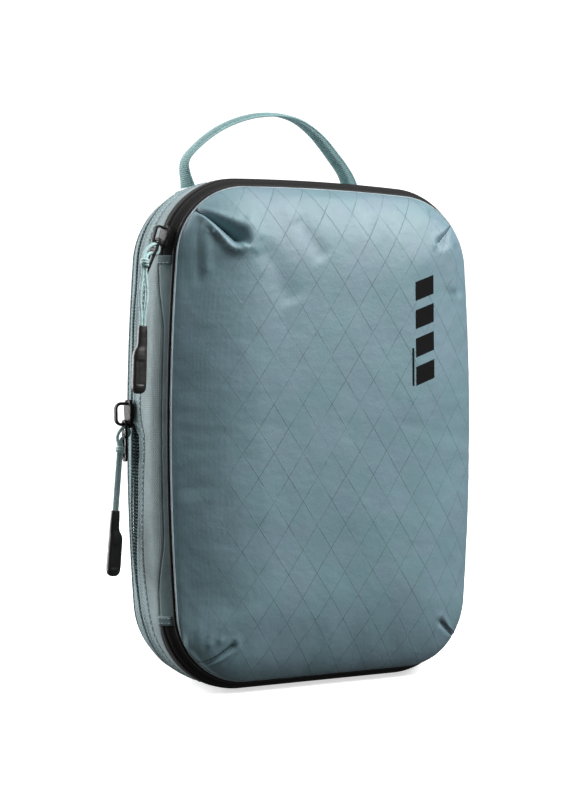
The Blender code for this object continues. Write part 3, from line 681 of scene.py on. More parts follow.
def twill_material(name, base, pitch, depth, contrast, roughness=0.7):
    """A zip tape: herringbone ribs that change direction every few millimetres."""
    s = Surface(name, roughness, 0.2, sheen=0.05)
    along, across, _ = s.split(s.weave())
    place = s.place()
    folded = s.math("PINGPONG", across, 0.0021)
    ribs = s.wave(s.plus(along, s.times(folded, 1.3)), pitch)
    cross = s.wave(across, pitch * 0.8)
    mixed = s.plus(s.times(ribs, 0.75), s.times(cross, 0.25))
    cloud = s.noise(place, 0.02)
    tint = s.plus(s.times(mixed, contrast), s.times(cloud, 0.5))
    s.colour(shaded(s, base, 0.45, 1.30, s.ramp(tint, 0.1, 0.4 + contrast)))
    s.bump(mixed, depth, 0.8)
    s.bump(s.noise(place, 0.0025, 3.0), 0.00012, 0.4)
    return s.material


def webbing_material():
    """Grosgrain webbing, whose ribs are in its mesh: fine threads between them."""
    s = Surface("handle_webbing", 0.75, 0.25, sheen=0.2, sheen_roughness=0.4)
    along, across, _ = s.split(s.weave())
    place = s.place()
    threads = s.times(s.wave(across, 0.0005), s.wave(along, 0.00075))
    share = s.plus(threads, s.noise(place, 0.004))
    s.colour(shaded(s, (0.23, 0.375, 0.38), 0.80, 1.15, s.ramp(share, 0.2, 1.4)))
    s.bump(threads, 0.00006, 0.8)
    return s.material


def cord_material():
    """Braided cord: the braid is in its mesh, with fine threads over it."""
    s = Surface("pull_cord", 0.7, 0.3, sheen=0.2)
    place = s.place()
    share = s.plus(s.noise(place, 0.0012, 2.0), s.noise(place, 0.006))
    s.colour(shaded(s, (0.40, 0.57, 0.575), 0.80, 1.12, s.ramp(share, 0.7, 1.3)))
    s.bump(s.noise(place, 0.0004, 3.0), 0.00006, 0.6)
    return s.material


def rubber_material():
    """Moulded soft plastic with a fine satin grain and rubbed edges."""
    s = Surface("grip_rubber", 0.42, 0.5)
    place = s.place()
    s.colour(shaded(s, (0.011, 0.0105, 0.0105), 0.8, 1.35, s.noise(place, 0.006)))
    s.rough(s.ramp(s.noise(place, 0.002), 0.2, 0.8, 0.34, 0.52))
    s.bump(s.noise(place, 0.00035, 3.0), 0.00003, 0.5)
    return s.material


def metal_material():
    """Painted black zinc, a little worn along its edges."""
    s = Surface("black_slider_metal", 0.50, 0.16)
    place = s.place()
    edge = s.node("ShaderNodeNewGeometry").outputs["Pointiness"]
    wear = s.times(s.ramp(edge, 0.53, 0.60), s.noise(place, 0.0012))
    dark = shaded(s, (0.008, 0.0078, 0.0078), 0.8, 1.3, s.noise(place, 0.004))
    s.colour(s.mix(s.times(wear, 0.5), dark, rgb(0.060, 0.056, 0.052)))
    s.rough(s.ramp(s.noise(place, 0.0015), 0.2, 0.8, 0.44, 0.60))
    s.bump(s.noise(place, 0.0005, 3.0), 0.00003, 0.4)
    return s.material


def coil_material(name, base):
    """Nylon monofilament, which stays dull in the shade between the tapes; its dark copy also paints the shade in the
    compression zip's slit, and its light copy the highlight on the tooth ends.
    """
    s = Surface(name, 0.7, 0.03)
    s.colour(shaded(s, base, 0.75, 1.25, s.noise(s.place(), 0.003)))
    s.bump(s.noise(s.place(), 0.0004, 2.0), 0.00002, 0.4)
    return s.material


def thread_material(name, base):
    """Twisted sewing thread."""
    s = Surface(name, 0.65, 0.3)
    place = s.place()
    x, y, z = s.split(place)
    twist = s.wave(s.plus(s.plus(x, y), z), 0.0005)
    s.colour(shaded(s, base, 0.75, 1.2, twist))
    s.bump(twist, 0.00004, 0.6)
    return s.material


def print_material():
    """Matt screen-printed ink that lets a little of the weave through."""
    s = Surface("printed_ink", 0.8, 0.08)
    place = s.place()
    x, _, z = s.split(place)
    s.colour(shaded(s, (0.006, 0.006, 0.0065), 0.8, 1.4, s.noise(place, 0.002)))
    s.bump(s.plus(s.wave(x, 0.00055), s.wave(z, 0.00055)), 0.00003, 0.5)
    return s.material


RIPSTOP = ripstop_material()
GUSSET_CLOTH = cloth_material("gusset_fabric", (0.200, 0.256, 0.268), 0.0011, 0.00016)
SPINE_CLOTH = cloth_material("spine_fabric", (0.115, 0.170, 0.182), 0.0007, 0.00005, 0.6)
TWILL = twill_material("teal_zip_twill", (0.240, 0.328, 0.348), 0.0017, 0.00030, 1.1)
BLACK_TWILL = twill_material("black_zip_tape", (0.012, 0.0115, 0.0115), 0.0013, 0.00016, 0.8, 0.85)
PIPING_CLOTH = cloth_material("black_piping", (0.006, 0.006, 0.0065), 0.0006, 0.00004, 0.55)
# the lid's rolled edge in a cloth far paler than the ripstop: a painted highlight along the panel's edge
EDGE_HIGHLIGHT_CLOTH = cloth_material("panel_edge_highlight", (0.33, 0.40, 0.43), 0.0006, 0.00004, 0.5)
BINDING_CLOTH = cloth_material("seam_binding", (0.030, 0.033, 0.035), 0.0008, 0.00006)
WEBBING = webbing_material()
CORD = cord_material()
RUBBER = rubber_material()
METAL = metal_material()
BLACK_COIL = coil_material("black_zip_coil", (0.012, 0.012, 0.012))
# the dark coil colour, which also paints the shade on a sheet under the compression zip's slit
DARK_COIL_AND_SLIT_SHADE = coil_material("dark_zip_coil", (0.014, 0.024, 0.027))
# the tooth ends, in a lighter copy of the dark coil's nylon: a painted highlight
LIT_TEETH = coil_material("lit_tooth_ends", (0.060, 0.098, 0.104))
TEAL_THREAD = thread_material("teal_thread", (0.26, 0.35, 0.37))
PALE_THREAD = thread_material("pale_thread", (0.36, 0.46, 0.48))
BLACK_THREAD = thread_material("black_thread", (0.02, 0.02, 0.02))
INK = print_material()


# ---- mesh helpers ----------------------------------------------------
def link(name, data, surface, body, slot, *replaced):
    """Adds a finished piece: its material, the body it rides on and the CAD nodes it stands for."""
    thing = in_scene(name, data)
    data.materials.append(surface)
    if body is not None:
        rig.ride(thing, body)
    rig.slot(thing, slot)
    if replaced:
        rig.replaces(thing, *replaced)
    return thing


def mesh_of(name, verts, faces, corners=None, smooth_angle=60, turn_out=True):
    """A mesh from points and faces, and from a weave coordinate for each face corner."""
    mesh = bpy.data.meshes.new(name)
    mesh.from_pydata(verts, [], faces)
    if corners is not None:
        layer = mesh.uv_layers.new(name="weave")
        layer.data.foreach_set("uv", np.array(corners, np.float32).ravel())
    if turn_out:
        with editing(mesh) as bm:
            bmesh.ops.recalc_face_normals(bm, faces=bm.faces)
    mesh.shade_smooth()
    if smooth_angle is not None:
        mesh.set_sharp_from_angle(angle=math.radians(smooth_angle))
    return mesh


def skin(sections, closed, weave=None):
    """Points, faces and weave coordinates of a surface through rings of points.

    An open one has caps on its ends, and a closed one runs once round the case.
    """
    rows = len(sections)
    count = len(sections[0])
    verts = [p for row in sections for p in row]
    faces = []
    corners = []
    for k in range(rows if closed else rows - 1):
        wrap = k == rows - 1
        for j in range(count):
            n = (j + 1) % count
            ends = [(k, j), (k, n), ((k + 1) % rows, n), ((k + 1) % rows, j)]
            faces.append(tuple(a * count + b for a, b in ends))
            if weave is not None:
                for number, (a, b) in enumerate(ends):
                    u, v = weave[a][b]
                    corners.append((u + PERIMETER if wrap and number > 1 else u, v))
    if not closed:
        for a in (0, rows - 1):
            faces.append(tuple(a * count + b for b in range(count)))
            if weave is not None:
                corners += [weave[a][b] for b in range(count)]
    return verts, faces, corners if weave is not None else None


def skin_mesh(name, sections, closed=False, weave=None, smooth_angle=60):
    return mesh_of(name, *skin(sections, closed, weave), smooth_angle=smooth_angle)


def band_mesh(name, stations, front, back, rows, lift, thickness, closed=True):
    """A strip of wall with relief: lift(station, depth, share) is its outer face's height."""
    sections = []
    weave = []
    for station in stations:
        low = front(station)
        high = back(station)
        outer = []
        marks = []
        for j in range(rows + 1):
            share = j / rows
            depth = low + (high - low) * share
            outer.append((depth, lift(station, depth, share)))
            marks.append((station.walk, depth))
        inner = [(depth, height - thickness) for depth, height in reversed(outer)]
        sections.append([station.point(depth, height) for depth, height in outer + inner])
        weave.append(marks + marks[::-1])
    return skin_mesh(name, sections, closed, weave)


def rolled(share, width_share, drop):
    """How far a cut edge rolls down, near either side of a band."""
    edge = min(share, 1 - share)
    return -drop * (1 - smooth_step(edge, 0.0, width_share)) ** 2


def wall_relief(station, depth):
    """The slack that runs through the fabric of the wall behind the main zip."""
    spot = station.point(depth)
    fade = smooth_step(depth, 0.010, 0.020) * (1 - smooth_step(depth, 0.040, 0.0465))
    soft = noise.noise(Vector((spot.x * 38, depth * 60, spot.z * 38)))
    fine = noise.noise(Vector((spot.x * 120, depth * 90 + 7, spot.z * 120)))
    return fade * (0.00042 * soft + 0.00014 * fine)


def tube_mesh(name, points, radius, sides, closed=False):
    """A round tube through points; radius is a number or a function of the ring and side."""
    count = len(points)
    reach = radius if callable(radius) else lambda ring, side: radius
    tangents = []
    for k in range(count):
        before = points[k - 1] if k or closed else points[0]
        after = points[(k + 1) % count] if k < count - 1 or closed else points[-1]
        tangents.append((after - before).normalized())
    side = tangents[0].orthogonal().normalized()
    sections = []
    for k, (p, tangent) in enumerate(zip(points, tangents)):
        side = (side - tangent * side.dot(tangent)).normalized()
        other = tangent.cross(side)
        ring = []
        for j in range(sides):
            turn = math.tau * j / sides
            ring.append(p + (side * math.cos(turn) + other * math.sin(turn)) * reach(k, j))
        sections.append(ring)
    return skin_mesh(name, sections, closed, smooth_angle=80)


def join_meshes(name, parts):
    """Several lists of points and faces as one mesh."""
    verts = []
    faces = []
    for points, rings in parts:
        start = len(verts)
        verts += points
        faces += [tuple(start + i for i in ring) for ring in rings]
    return mesh_of(name, verts, faces)


STITCH_PROFILE = (
    # share of the length, share of the radius, rise off the cloth in radii
    (0, 0.35, -1),
    (0.12, 0.85, 0.2),
    (0.5, 1, 0.6),
    (0.88, 0.85, 0.2),
    (1, 0.35, -1),
)


def link_stitches(name, parts, surface, body, slot):
    """Adds a row of stitches or teeth as one piece."""
    link(name, join_meshes(name, parts), surface, body, slot)


def capsule(a, b, radius, normal, sides=6):
    """A stitch: a short rounded rod from a to b, arched off the cloth."""
    along = b - a
    length = along.length
    along.normalize()
    across = along.cross(normal).normalized()
    sections = []
    for share, size, rise in STITCH_PROFILE:
        middle = a + along * (length * share) + normal * (radius * rise)
        ring = []
        for j in range(sides):
            turn = math.tau * j / sides
            ring.append(middle + (across * math.cos(turn) + normal * math.sin(turn)) * (radius * size))
        sections.append(ring)
    verts, faces, _ = skin(sections, False)
    return verts, faces


def stitch_row(places):
    """Stitches along a line of (point, normal) pairs."""
    found = []
    start = None
    for (a, _), (b, normal) in zip(places, places[1:]):
        if start is None:
            start = a
        if (b - start).length >= STITCH_LENGTH:
            found.append(capsule(start, b, THREAD_RADIUS, normal))
            start = None
    return found


def wall_stitches(stations, depth_at):
    """Stitches along the wall, with a gap after each."""
    lift = 0.00005
    found = []
    per_stitch = max(1, round(STITCH_PITCH / (stations[1].walk - stations[0].walk)))
    reach = max(1, round(per_stitch * STITCH_LENGTH / STITCH_PITCH))
    for k in range(0, len(stations) - reach, per_stitch):
        a = stations[k]
        b = stations[k + reach]
        height = lift + wall_relief(a, depth_at(a))
        start = a.point(depth_at(a), height)
        end = b.point(depth_at(b), height)
        found.append(capsule(start, end, THREAD_RADIUS, a.out()))
    return found


def between(a, b, low, high, t):
    """The point that lies between a at low and b at high."""
    return a * ((high - t) / (high - low)) + b * ((t - low) / (high - low))


def smooth_route(points, count):
    """Points spread evenly along a smooth curve through the given ones."""
    ends = [points[0] * 2 - points[1]] + list(points) + [points[-1] * 2 - points[-2]]
    fine = []
    for k in range(1, len(ends) - 2):
        p0, p1, p2, p3 = ends[k - 1 : k + 3]
        t1 = (p1 - p0).length ** 0.5
        t2 = t1 + (p2 - p1).length ** 0.5
        t3 = t2 + (p3 - p2).length ** 0.5
        for step in range(24):
            t = t1 + (t2 - t1) * step / 24
            a1 = between(p0, p1, 0, t1, t)
            a2 = between(p1, p2, t1, t2, t)
            a3 = between(p2, p3, t2, t3, t)
            b1 = between(a1, a2, 0, t2, t)
            b2 = between(a2, a3, t1, t3, t)
            fine.append(between(b1, b2, t1, t2, t))
    fine.append(points[-1].copy())
    lengths = [0.0]
    for a, b in zip(fine, fine[1:]):
        lengths.append(lengths[-1] + (b - a).length)
    even = []
    k = 0
    for step in range(count):
        target = lengths[-1] * step / (count - 1)
        while k < len(fine) - 2 and lengths[k + 1] < target:
            k += 1
        share = (target - lengths[k]) / (lengths[k + 1] - lengths[k])
        even.append(fine[k].lerp(fine[k + 1], share))
    return even


def length_of(points):
    return sum((b - a).length for a, b in zip(points, points[1:]))


def plate_mesh(name, outlines, thickness, bevel, place):
    """A flat plate with holes and rounded edges: the first outline is the rim, in x and z."""
    curve = bpy.data.curves.new(name, "CURVE")
    curve.dimensions = "2D"
    curve.fill_mode = "BOTH"
    curve.extrude = thickness / 2 - bevel
    curve.bevel_depth = bevel
    curve.bevel_resolution = 3
    curve.offset = -bevel
    for outline in outlines:
        spline = curve.splines.new("POLY")
        spline.points.add(len(outline) - 1)
        for spot, (x, z) in zip(spline.points, outline):
            spot.co = (x, z, 0.0, 1.0)
        spline.use_cyclic_u = True
    mesh = applied(in_scene(name, curve))
    bpy.data.curves.remove(curve)
    stand = Matrix(((1, 0, 0, 0), (0, 0, 1, 0), (0, 1, 0, 0), (0, 0, 0, 1)))
    mesh.transform(place @ stand)
    with editing(mesh) as bm:
        bmesh.ops.remove_doubles(bm, verts=bm.verts, dist=0.00001)
        bmesh.ops.recalc_face_normals(bm, faces=bm.faces)
    mesh.shade_smooth()
    mesh.set_sharp_from_angle(angle=math.radians(50))
    return mesh


def rounded_outline(width, low, high, radius, steps=6):
    """A rounded rectangle in x and z, as a list of points."""
    found = []
    half = width / 2
    corners = (
        (half - radius, high - radius, 0),
        (-half + radius, high - radius, 90),
        (-half + radius, low + radius, 180),
        (half - radius, low + radius, 270),
    )
    for cx, cz, start in corners:
        for k in range(steps + 1):
            a = math.radians(start + 90 * k / steps)
            found.append((cx + radius * math.cos(a), cz + radius * math.sin(a)))
    return found


def squared(count, wide_power, thin_power):
    """Places round a rounded square from -1 to 1: the lower its powers, the squarer it is."""
    found = []
    for k in range(count):
        turn = math.tau * k / count
        c = math.cos(turn)
        s = math.sin(turn)
        found.append((math.copysign(abs(c) ** wide_power, c), math.copysign(abs(s) ** thin_power, s)))
    return found


def merged(name, meshes):
    """Several meshes as one."""
    bm = bmesh.new()
    for mesh in meshes:
        bm.from_mesh(mesh)
    joined = bpy.data.meshes.new(name)
    bm.to_mesh(joined)
    bm.free()
    joined.shade_smooth()
    joined.set_sharp_from_angle(angle=math.radians(50))
    return joined


# ---- zip pulls: cords first ------------------------------------------
SLIDER_GAP = 0.0005
PLATE_LENGTH = 0.0125
PLATE_THICKNESS = 0.0018
BRIDGE_LENGTH = 0.0106
BRIDGE_WIDTH = 0.0030
BRIDGE_TOP = 0.0082
BRIDGE_BAR = 0.0014
BRIDGE_BEND = 0.0024
TAB_AXIS_OUT = 0.0041
TAB_AXIS_UP = -0.0022
PULL_THICKNESS = 0.0013
PULL_WIDTH = 0.0062
PULL_LENGTH = 0.0215
PULL_TOP = 0.00075
PULL_SIDE_BAR = -0.0023
CORD_RADIUS = 0.00084
STRAND_OFFSET = 0.00080
GRIP_DROP = 0.0320
GRIP_COVER = 0.0010
GRIP_STEP = 0.0011
MAIN_SLIDER_ANGLE = 16
MAIN_SLIDER_ROLL = math.radians(-16)
COMPRESSION_SLIDER_HEIGHT = 0.0095


def slider_frame(origin, out, up):
    """Local axes of a slider: x across the zip towards the back, y outwards, z up the zip."""
    columns = Matrix((out.cross(up), out, up)).transposed().to_4x4()
    return Matrix.Translation(origin) @ columns


class Pull:
    """Where one slider, its tab, cord, knot and grip are.

    knot is its place on the tab; lean tips the tab away from the wall and swing turns the
    hanging cord, both in degrees; spread parts the two strands halfway down, step_side is the
    side that the grip steps out to, size is the slider's scale, and drop lowers the tab.
    """

    def __init__(self, prefix, origin, out, up, knot, lean, spread, step_side, size, drop, swing):
        self.prefix = prefix
        self.step_side = step_side
        self.slider = slider_frame(origin, out, up)
        self.slider_shape = self.slider @ Matrix.Scale(size, 4)
        tilt = Matrix.Rotation(math.radians(lean), 3, out.cross(up))
        tab_place = self.slider @ Vector((0, TAB_AXIS_OUT, TAB_AXIS_UP - drop))
        self.tab = slider_frame(tab_place, tilt @ out, tilt @ up)
        self.knot = self.tab @ Vector(knot)
        swing = math.radians(swing)
        self.hang = Vector((-math.sin(swing), 0, -math.cos(swing)))
        self.grip_top = self.knot + self.hang * GRIP_DROP
        self.route = smooth_route(self.cord_points(spread), 401)

    def cord_points(self, spread):
        """The doubled cord: up from the grip, through the knot, round the tab's bar and back."""
        across = Vector((1, 0, 0))
        side = 0.5 * PULL_SIDE_BAR
        strands = []
        for sign in (1, -1):
            apart = across * (sign * STRAND_OFFSET)
            wide = across * (sign * (STRAND_OFFSET + spread))
            strands.append(
                [
                    self.grip_top + apart,
                    self.grip_top + apart - self.hang * 0.004,
                    self.knot + self.hang * (GRIP_DROP * 0.5) + wide,
                    self.knot + self.hang * 0.0055 + apart,
                    self.knot + self.hang * 0.0019 + apart,
                    self.knot - self.hang * 0.0019 + apart,
                ]
            )
        loop = [
            self.tab @ Vector((side, y, z))
            for y, z in (
                (0.0026, -0.0098), (0.0008, -0.0080), (-0.0011, -0.0077), (-0.0020, -0.0064),
                (-0.0020, -0.0048), (-0.0011, -0.0034), (0.0010, -0.0033), (0.0031, -0.0052),
                (0.0044, -0.0082),
            )
        ]
        return strands[0] + loop + strands[1][::-1]


def main_pull():
    """The main zip's pull, on the round of the upper left corner."""
    angle = math.radians(MAIN_SLIDER_ANGLE)
    radial = Vector((-math.cos(angle), 0, math.sin(angle)))
    up = Vector((math.sin(angle), 0, math.cos(angle)))
    step = 0.001
    slope = (swell(MAIN_ZIP_LINE + step) - swell(MAIN_ZIP_LINE - step)) / (2 * step)
    out = (radial - Vector((0, slope, 0))).normalized()
    out = Matrix.Rotation(MAIN_SLIDER_ROLL, 3, up) @ out
    arc_centre, arc_radius, _, _ = ARCS[1]
    centre = Vector((arc_centre.x, FRONT_SEAM_Y + MAIN_ZIP_LINE, arc_centre.y + CENTRE_Z))
    origin = centre + radial * (arc_radius + swell(MAIN_ZIP_LINE))
    knot = (-0.0018, 0.0030, -0.0143)
    return Pull(
        "main", origin, out, up, knot, lean=8, spread=0.0010, step_side=-1, size=0.92, drop=0, swing=2
    )


def compression_pull():
    """The compression zip's pull, on the left side above the open slit."""
    station = Station(left_walk(COMPRESSION_SLIDER_HEIGHT))
    up = Vector((0, ZIP_LINE_SLOPE, 1)).normalized()
    origin = station.point(zip_line(station))
    out = Vector((-1, 0, 0))
    knot = (-0.0018, 0.0034, -0.0146)
    return Pull(
        "compression", origin, out, up, knot, lean=0, spread=0, step_side=1, size=1.16, drop=0.0014,
        swing=4.5,
    )


def build_cord(pull):
    """The braided cord, as a tube whose surface rises and falls with the strands."""
    sides = 16
    strands = 4
    twist = 0.55              # how far the strands turn from one ring to the next
    relief = 0.045

    def reach(ring, side):
        turn = math.tau * side / sides
        left = math.cos(strands * turn + ring * twist)
        right = math.cos(strands * turn - ring * twist)
        return CORD_RADIUS * (1 - relief + relief * max(left, right))

    name = f"{pull.prefix}_cord"
    mesh = tube_mesh(name, pull.route, reach, sides)
    return link(name, mesh, CORD, name, "pull_cord", f"{pull.prefix}_pull_cord")


def build_knot(pull):
    """An overhand knot: the cord's turns drawn tight round both strands."""
    out = pull.hang.cross(BACKWARDS).normalized()
    wide = STRAND_OFFSET + CORD_RADIUS * 1.55
    deep = CORD_RADIUS * 1.75
    points = []
    turns = 2.6
    count = 96
    for k in range(count + 1):
        share = k / count
        turn = math.tau * turns * share
        rise = (share - 0.5) * 0.0030 + 0.0004 * math.sin(turn + 0.6)
        near = 1 - 0.45 * (1 - smooth_step(min(share, 1 - share), 0.0, 0.10))
        around = BACKWARDS * (wide * near * math.cos(turn)) + out * (deep * near * math.sin(turn))
        points.append(pull.knot + around + pull.hang * rise)
    wrap = tube_mesh("knot_wrap", points, CORD_RADIUS * 0.92, 12)
    name = f"{pull.prefix}_knot"
    return link(name, wrap, CORD, f"{pull.prefix}_cord", "pull_cord", f"{pull.prefix}_pull_knot")


GRIP_PROFILE = (
    # distance down the grip, half width, half thickness, share of the side step
    (0.0000, 0.0019, 0.0013, 0.0),
    (0.0003, 0.0022, 0.0016, 0.0),
    (0.0030, 0.0024, 0.0018, 0.0),
    (0.0085, 0.0025, 0.0019, 0.0),
    (0.0105, 0.0027, 0.0020, 0.25),
    (0.0125, 0.0033, 0.0024, 0.85),
    (0.0145, 0.0036, 0.0026, 1.0),
    (0.0280, 0.0037, 0.0028, 1.0),
    (0.0310, 0.0035, 0.0026, 1.0),
    (0.0325, 0.0029, 0.0021, 1.0),
    (0.0333, 0.0018, 0.0013, 1.0),
    (0.0335, 0.0009, 0.0006, 1.0),
)


def build_grip(pull):
    """The moulded grip: a neck that steps out to a flat body with a sunk oval on each face."""
    out = pull.hang.cross(BACKWARDS).normalized()
    rim = squared(48, 0.8, 0.72)
    rings = 120
    marks = [row[0] for row in GRIP_PROFILE]
    sections = []
    for k in range(rings + 1):
        share = k / rings
        along = marks[-1] * (share - 0.04 * math.sin(math.tau * share))
        wide, thick, moved = (
            float(np.interp(along, marks, [row[n] for row in GRIP_PROFILE])) for n in (1, 2, 3)
        )
        step_out = out * (GRIP_STEP * pull.step_side * moved)
        middle = pull.grip_top + pull.hang * (along - GRIP_COVER) + step_out
        inset = smooth_step(along, 0.0165, 0.0180) * (1 - smooth_step(along, 0.0285, 0.0300))
        ring = []
        for square, flat in rim:
            sunk = 0.00035 * inset * (1 - smooth_step(abs(square), 0.45, 0.66))
            ring.append(middle + out * (wide * square) + BACKWARDS * ((thick - sunk) * flat))
        sections.append(ring)
    name = f"{pull.prefix}_grip"
    mesh = skin_mesh(name, sections, smooth_angle=70)
    return link(name, mesh, RUBBER, f"{pull.prefix}_cord", "grip_rubber", f"{pull.prefix}_pull_grip")


PULLS = [main_pull(), compression_pull()]
for pull in PULLS:
    cord = build_cord(pull)
    knot = build_knot(pull)
    grip = build_grip(pull)
    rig.cord(
        cord,
        exit=pull.route[0],
        length=round(length_of(pull.route), 4),
        diameter=CORD_RADIUS * 2,
        far_end="object",
        stiffness="limp",
        lay="hanging",
        path=pull.route,
        with_pieces=[knot, grip],
    )


# ---- sliders and pull tabs -------------------------------------------
def build_slider(pull):
    """Top plate with turned-down edges, lower plate under the tape, post and bridge."""
    half = PLATE_LENGTH / 2
    top = SLIDER_GAP + PLATE_THICKNESS
    shape = [
        (0.0020, -half),
        (0.0031, -half + 0.0005),
        (0.0038, -half + 0.0016),
        (0.0040, -0.0010),
        (0.0045, 0.0015),
        (0.0044, 0.0035),
        (0.0036, half - 0.0012),
        (0.0030, half - 0.0002),
        (0.0020, half),
        (0.0012, half - 0.0002),
        (0.0007, half - 0.0009),
    ]
    outline = shape + [(-x, z) for x, z in reversed(shape)]
    raised = Matrix.Translation((0, SLIDER_GAP + PLATE_THICKNESS * 0.62, 0))
    upper = plate_mesh("upper", [outline], PLATE_THICKNESS * 0.76, 0.0004, pull.slider_shape @ raised)
    low_outline = [(x * 0.97, z * 0.97) for x, z in outline]
    below = Matrix.Translation((0, -0.0030, 0))
    lower = plate_mesh("lower", [low_outline], 0.0011, 0.0003, pull.slider_shape @ below)
    flanges = []
    for side in (1, -1):
        places = []
        for k in range(9):
            share = k / 8
            z = -half * 0.80 + PLATE_LENGTH * 0.74 * share
            x = side * (0.0036 + 0.0006 * smooth_step(z, -0.002, 0.002))
            places.append(pull.slider_shape @ Vector((x, SLIDER_GAP + 0.00055, z)))
        flanges.append(tube_mesh("flange", smooth_route(places, 25), 0.00055, 10))
    post = plate_mesh(
        "post",
        [rounded_outline(0.0016, half - 0.0034, half - 0.0010, 0.0007)],
        0.0042,
        0.0002,
        pull.slider_shape @ Matrix.Translation((0, -0.0008, 0)),
    )
    bridge = bridge_mesh(pull.slider_shape, top)
    mesh = merged(f"{pull.prefix}_slider", [upper, lower, post, bridge] + flanges)
    body = f"{pull.prefix}_slider"
    link(body, mesh, METAL, body, "black_slider_metal", f"{pull.prefix}_slider_body")


def bridge_mesh(place, top):
    """The flat bar over the tab's axis, rounded, with a raised rib down its middle."""
    half = BRIDGE_LENGTH / 2 - BRIDGE_BAR / 2
    crest = BRIDGE_TOP - BRIDGE_BAR / 2
    path = [Vector((0, top - 0.0008, half)), Vector((0, crest - BRIDGE_BEND, half))]
    for k in range(1, 9):
        a = math.radians(90 * k / 8)
        y = crest - BRIDGE_BEND + math.sin(a) * BRIDGE_BEND
        path.append(Vector((0, y, half - BRIDGE_BEND * (1 - math.cos(a)))))
    path += [Vector((0, p.y, -p.z)) for p in reversed(path)]
    sections = []
    for k, p in enumerate(path):
        along = (path[min(k + 1, len(path) - 1)] - path[max(k - 1, 0)]).normalized()
        lift = Vector((1, 0, 0)).cross(along).normalized()
        ring = []
        for square, flat in squared(20, 0.55, 0.65):
            x = square * BRIDGE_WIDTH / 2
            y = flat * BRIDGE_BAR / 2 * (1 - 0.22 * smooth_step(abs(x), 0.0003, 0.0008))
            ring.append(place @ (p + Vector((x, 0, 0)) + lift * y))
        sections.append(ring)
    return skin_mesh("bridge", sections)


def build_tab(pull):
    """The pull tab: an eye round the bridge, a slot for the cord and a small round hole."""
    rim = rounded_outline(PULL_WIDTH, PULL_TOP - PULL_LENGTH, PULL_TOP, 0.0022, 8)
    rim = [(x * (1 - 0.13 * smooth_step(-z, 0.012, 0.021)), z) for x, z in rim]
    openings = [
        rounded_outline(0.0038, -0.0046, -0.00075, 0.0006),
        rounded_outline(0.0031, -0.0135, -0.0066, 0.0012),
        rounded_outline(0.0024, -0.0189, -0.0165, 0.00118),
    ]
    name = f"{pull.prefix}_tab"
    mesh = plate_mesh(name, [rim] + openings, PULL_THICKNESS, 0.00035, pull.tab)
    link(name, mesh, METAL, name, "black_slider_metal", f"{pull.prefix}_pull_tab")


for pull in PULLS:
    build_slider(pull)
    build_tab(pull)


# ---- front and rear panels -------------------------------------------
PANEL_STEP = 0.0030
PANEL_RINGS = (0.0007, 0.0017, 0.0031, 0.0050, 0.0075)    # points in from the edge
PANEL_SHOULDER = 0.046    # how far in from its edge the panel keeps rising
FLANK_BULGE = 0.52        # how soon the dome rises from its edge: lower is fuller
FLAT_FLANK = 0.86         # the same for the lid's pulled left flank


class Field:
    """The panel's points as arrays, with their distances from its edge."""

    def __init__(self, x, z):
        self.x = x
        self.z = z
        loop = [Station(PERIMETER * k / 1200) for k in range(1200)]
        border_x = np.array([s.across for s in loop])
        border_z = np.array([s.height for s in loop])
        turn = np.arctan2(border_z, border_x)
        order = np.argsort(turn)
        limit = np.interp(
            np.arctan2(z, x), turn[order], np.hypot(border_x, border_z)[order], period=math.tau
        )
        self.share = np.clip(np.hypot(x, z) / limit, 0, 1)
        self.edge = np.empty(len(x))
        for k in range(0, len(x), 2000):
            far = np.hypot(x[k : k + 2000, None] - border_x, z[k : k + 2000, None] - border_z)
            self.edge[k : k + 2000] = far.min(axis=1)

    def near_line(self, points):
        """Share along a line of points, and the signed distance from it."""
        best = np.full(len(self.x), 1e9)
        share = np.zeros(len(self.x))
        side = np.zeros(len(self.x))
        total = sum(math.dist(a, b) for a, b in zip(points, points[1:]))
        walked = 0.0
        for (ax, az), (bx, bz) in zip(points, points[1:]):
            dx, dz = bx - ax, bz - az
            length = math.hypot(dx, dz)
            t = np.clip(((self.x - ax) * dx + (self.z - az) * dz) / length**2, 0, 1)
            far = np.hypot(self.x - ax - t * dx, self.z - az - t * dz)
            closer = far < best
            sign = np.sign(dx * (self.z - az) - dz * (self.x - ax))
            best = np.where(closer, far, best)
            side = np.where(closer, sign, side)
            share = np.where(closer, (walked + t * length) / total, share)
            walked += length
        return share, best * side

    def ridge(self, points, height, width, start=0.15, end=0.15):
        """A soft fold along a line, fading at its ends."""
        share, far = self.near_line(points)
        fade = ease(share, 0, start) * (1 - ease(share, 1 - end, 1))
        return height * fade * np.exp(-((far / width) ** 2))

    def dart(self, points, depth, left_width, right_width, lip, far_lip=0.15):
        """A stitched groove that widens to a rounded pocket, with a puffed lip on its right."""
        share, far = self.near_line(points)
        right = ease(-far, -0.3 * right_width, 0.3 * right_width)
        widest = left_width + (right_width - left_width) * right
        reach = widest * (0.22 + 0.78 * share**1.3)
        sunk = depth * (0.16 + 0.84 * ease(share, 0, 1))
        groove = -sunk * (1 - np.clip(np.abs(far) / reach, 0, 1)) ** 1.6
        side = far_lip + (1 - far_lip) * right
        puff = lip * ease(share, 0, 0.7) * side * np.exp(-(((np.abs(far) - reach) / (0.5 * reach)) ** 2))
        return groove + puff


def ease(value, low, high):
    if high <= low:
        return (value >= high).astype(float)
    t = np.clip((value - low) / (high - low), 0, 1)
    return t * t * (3 - 2 * t)


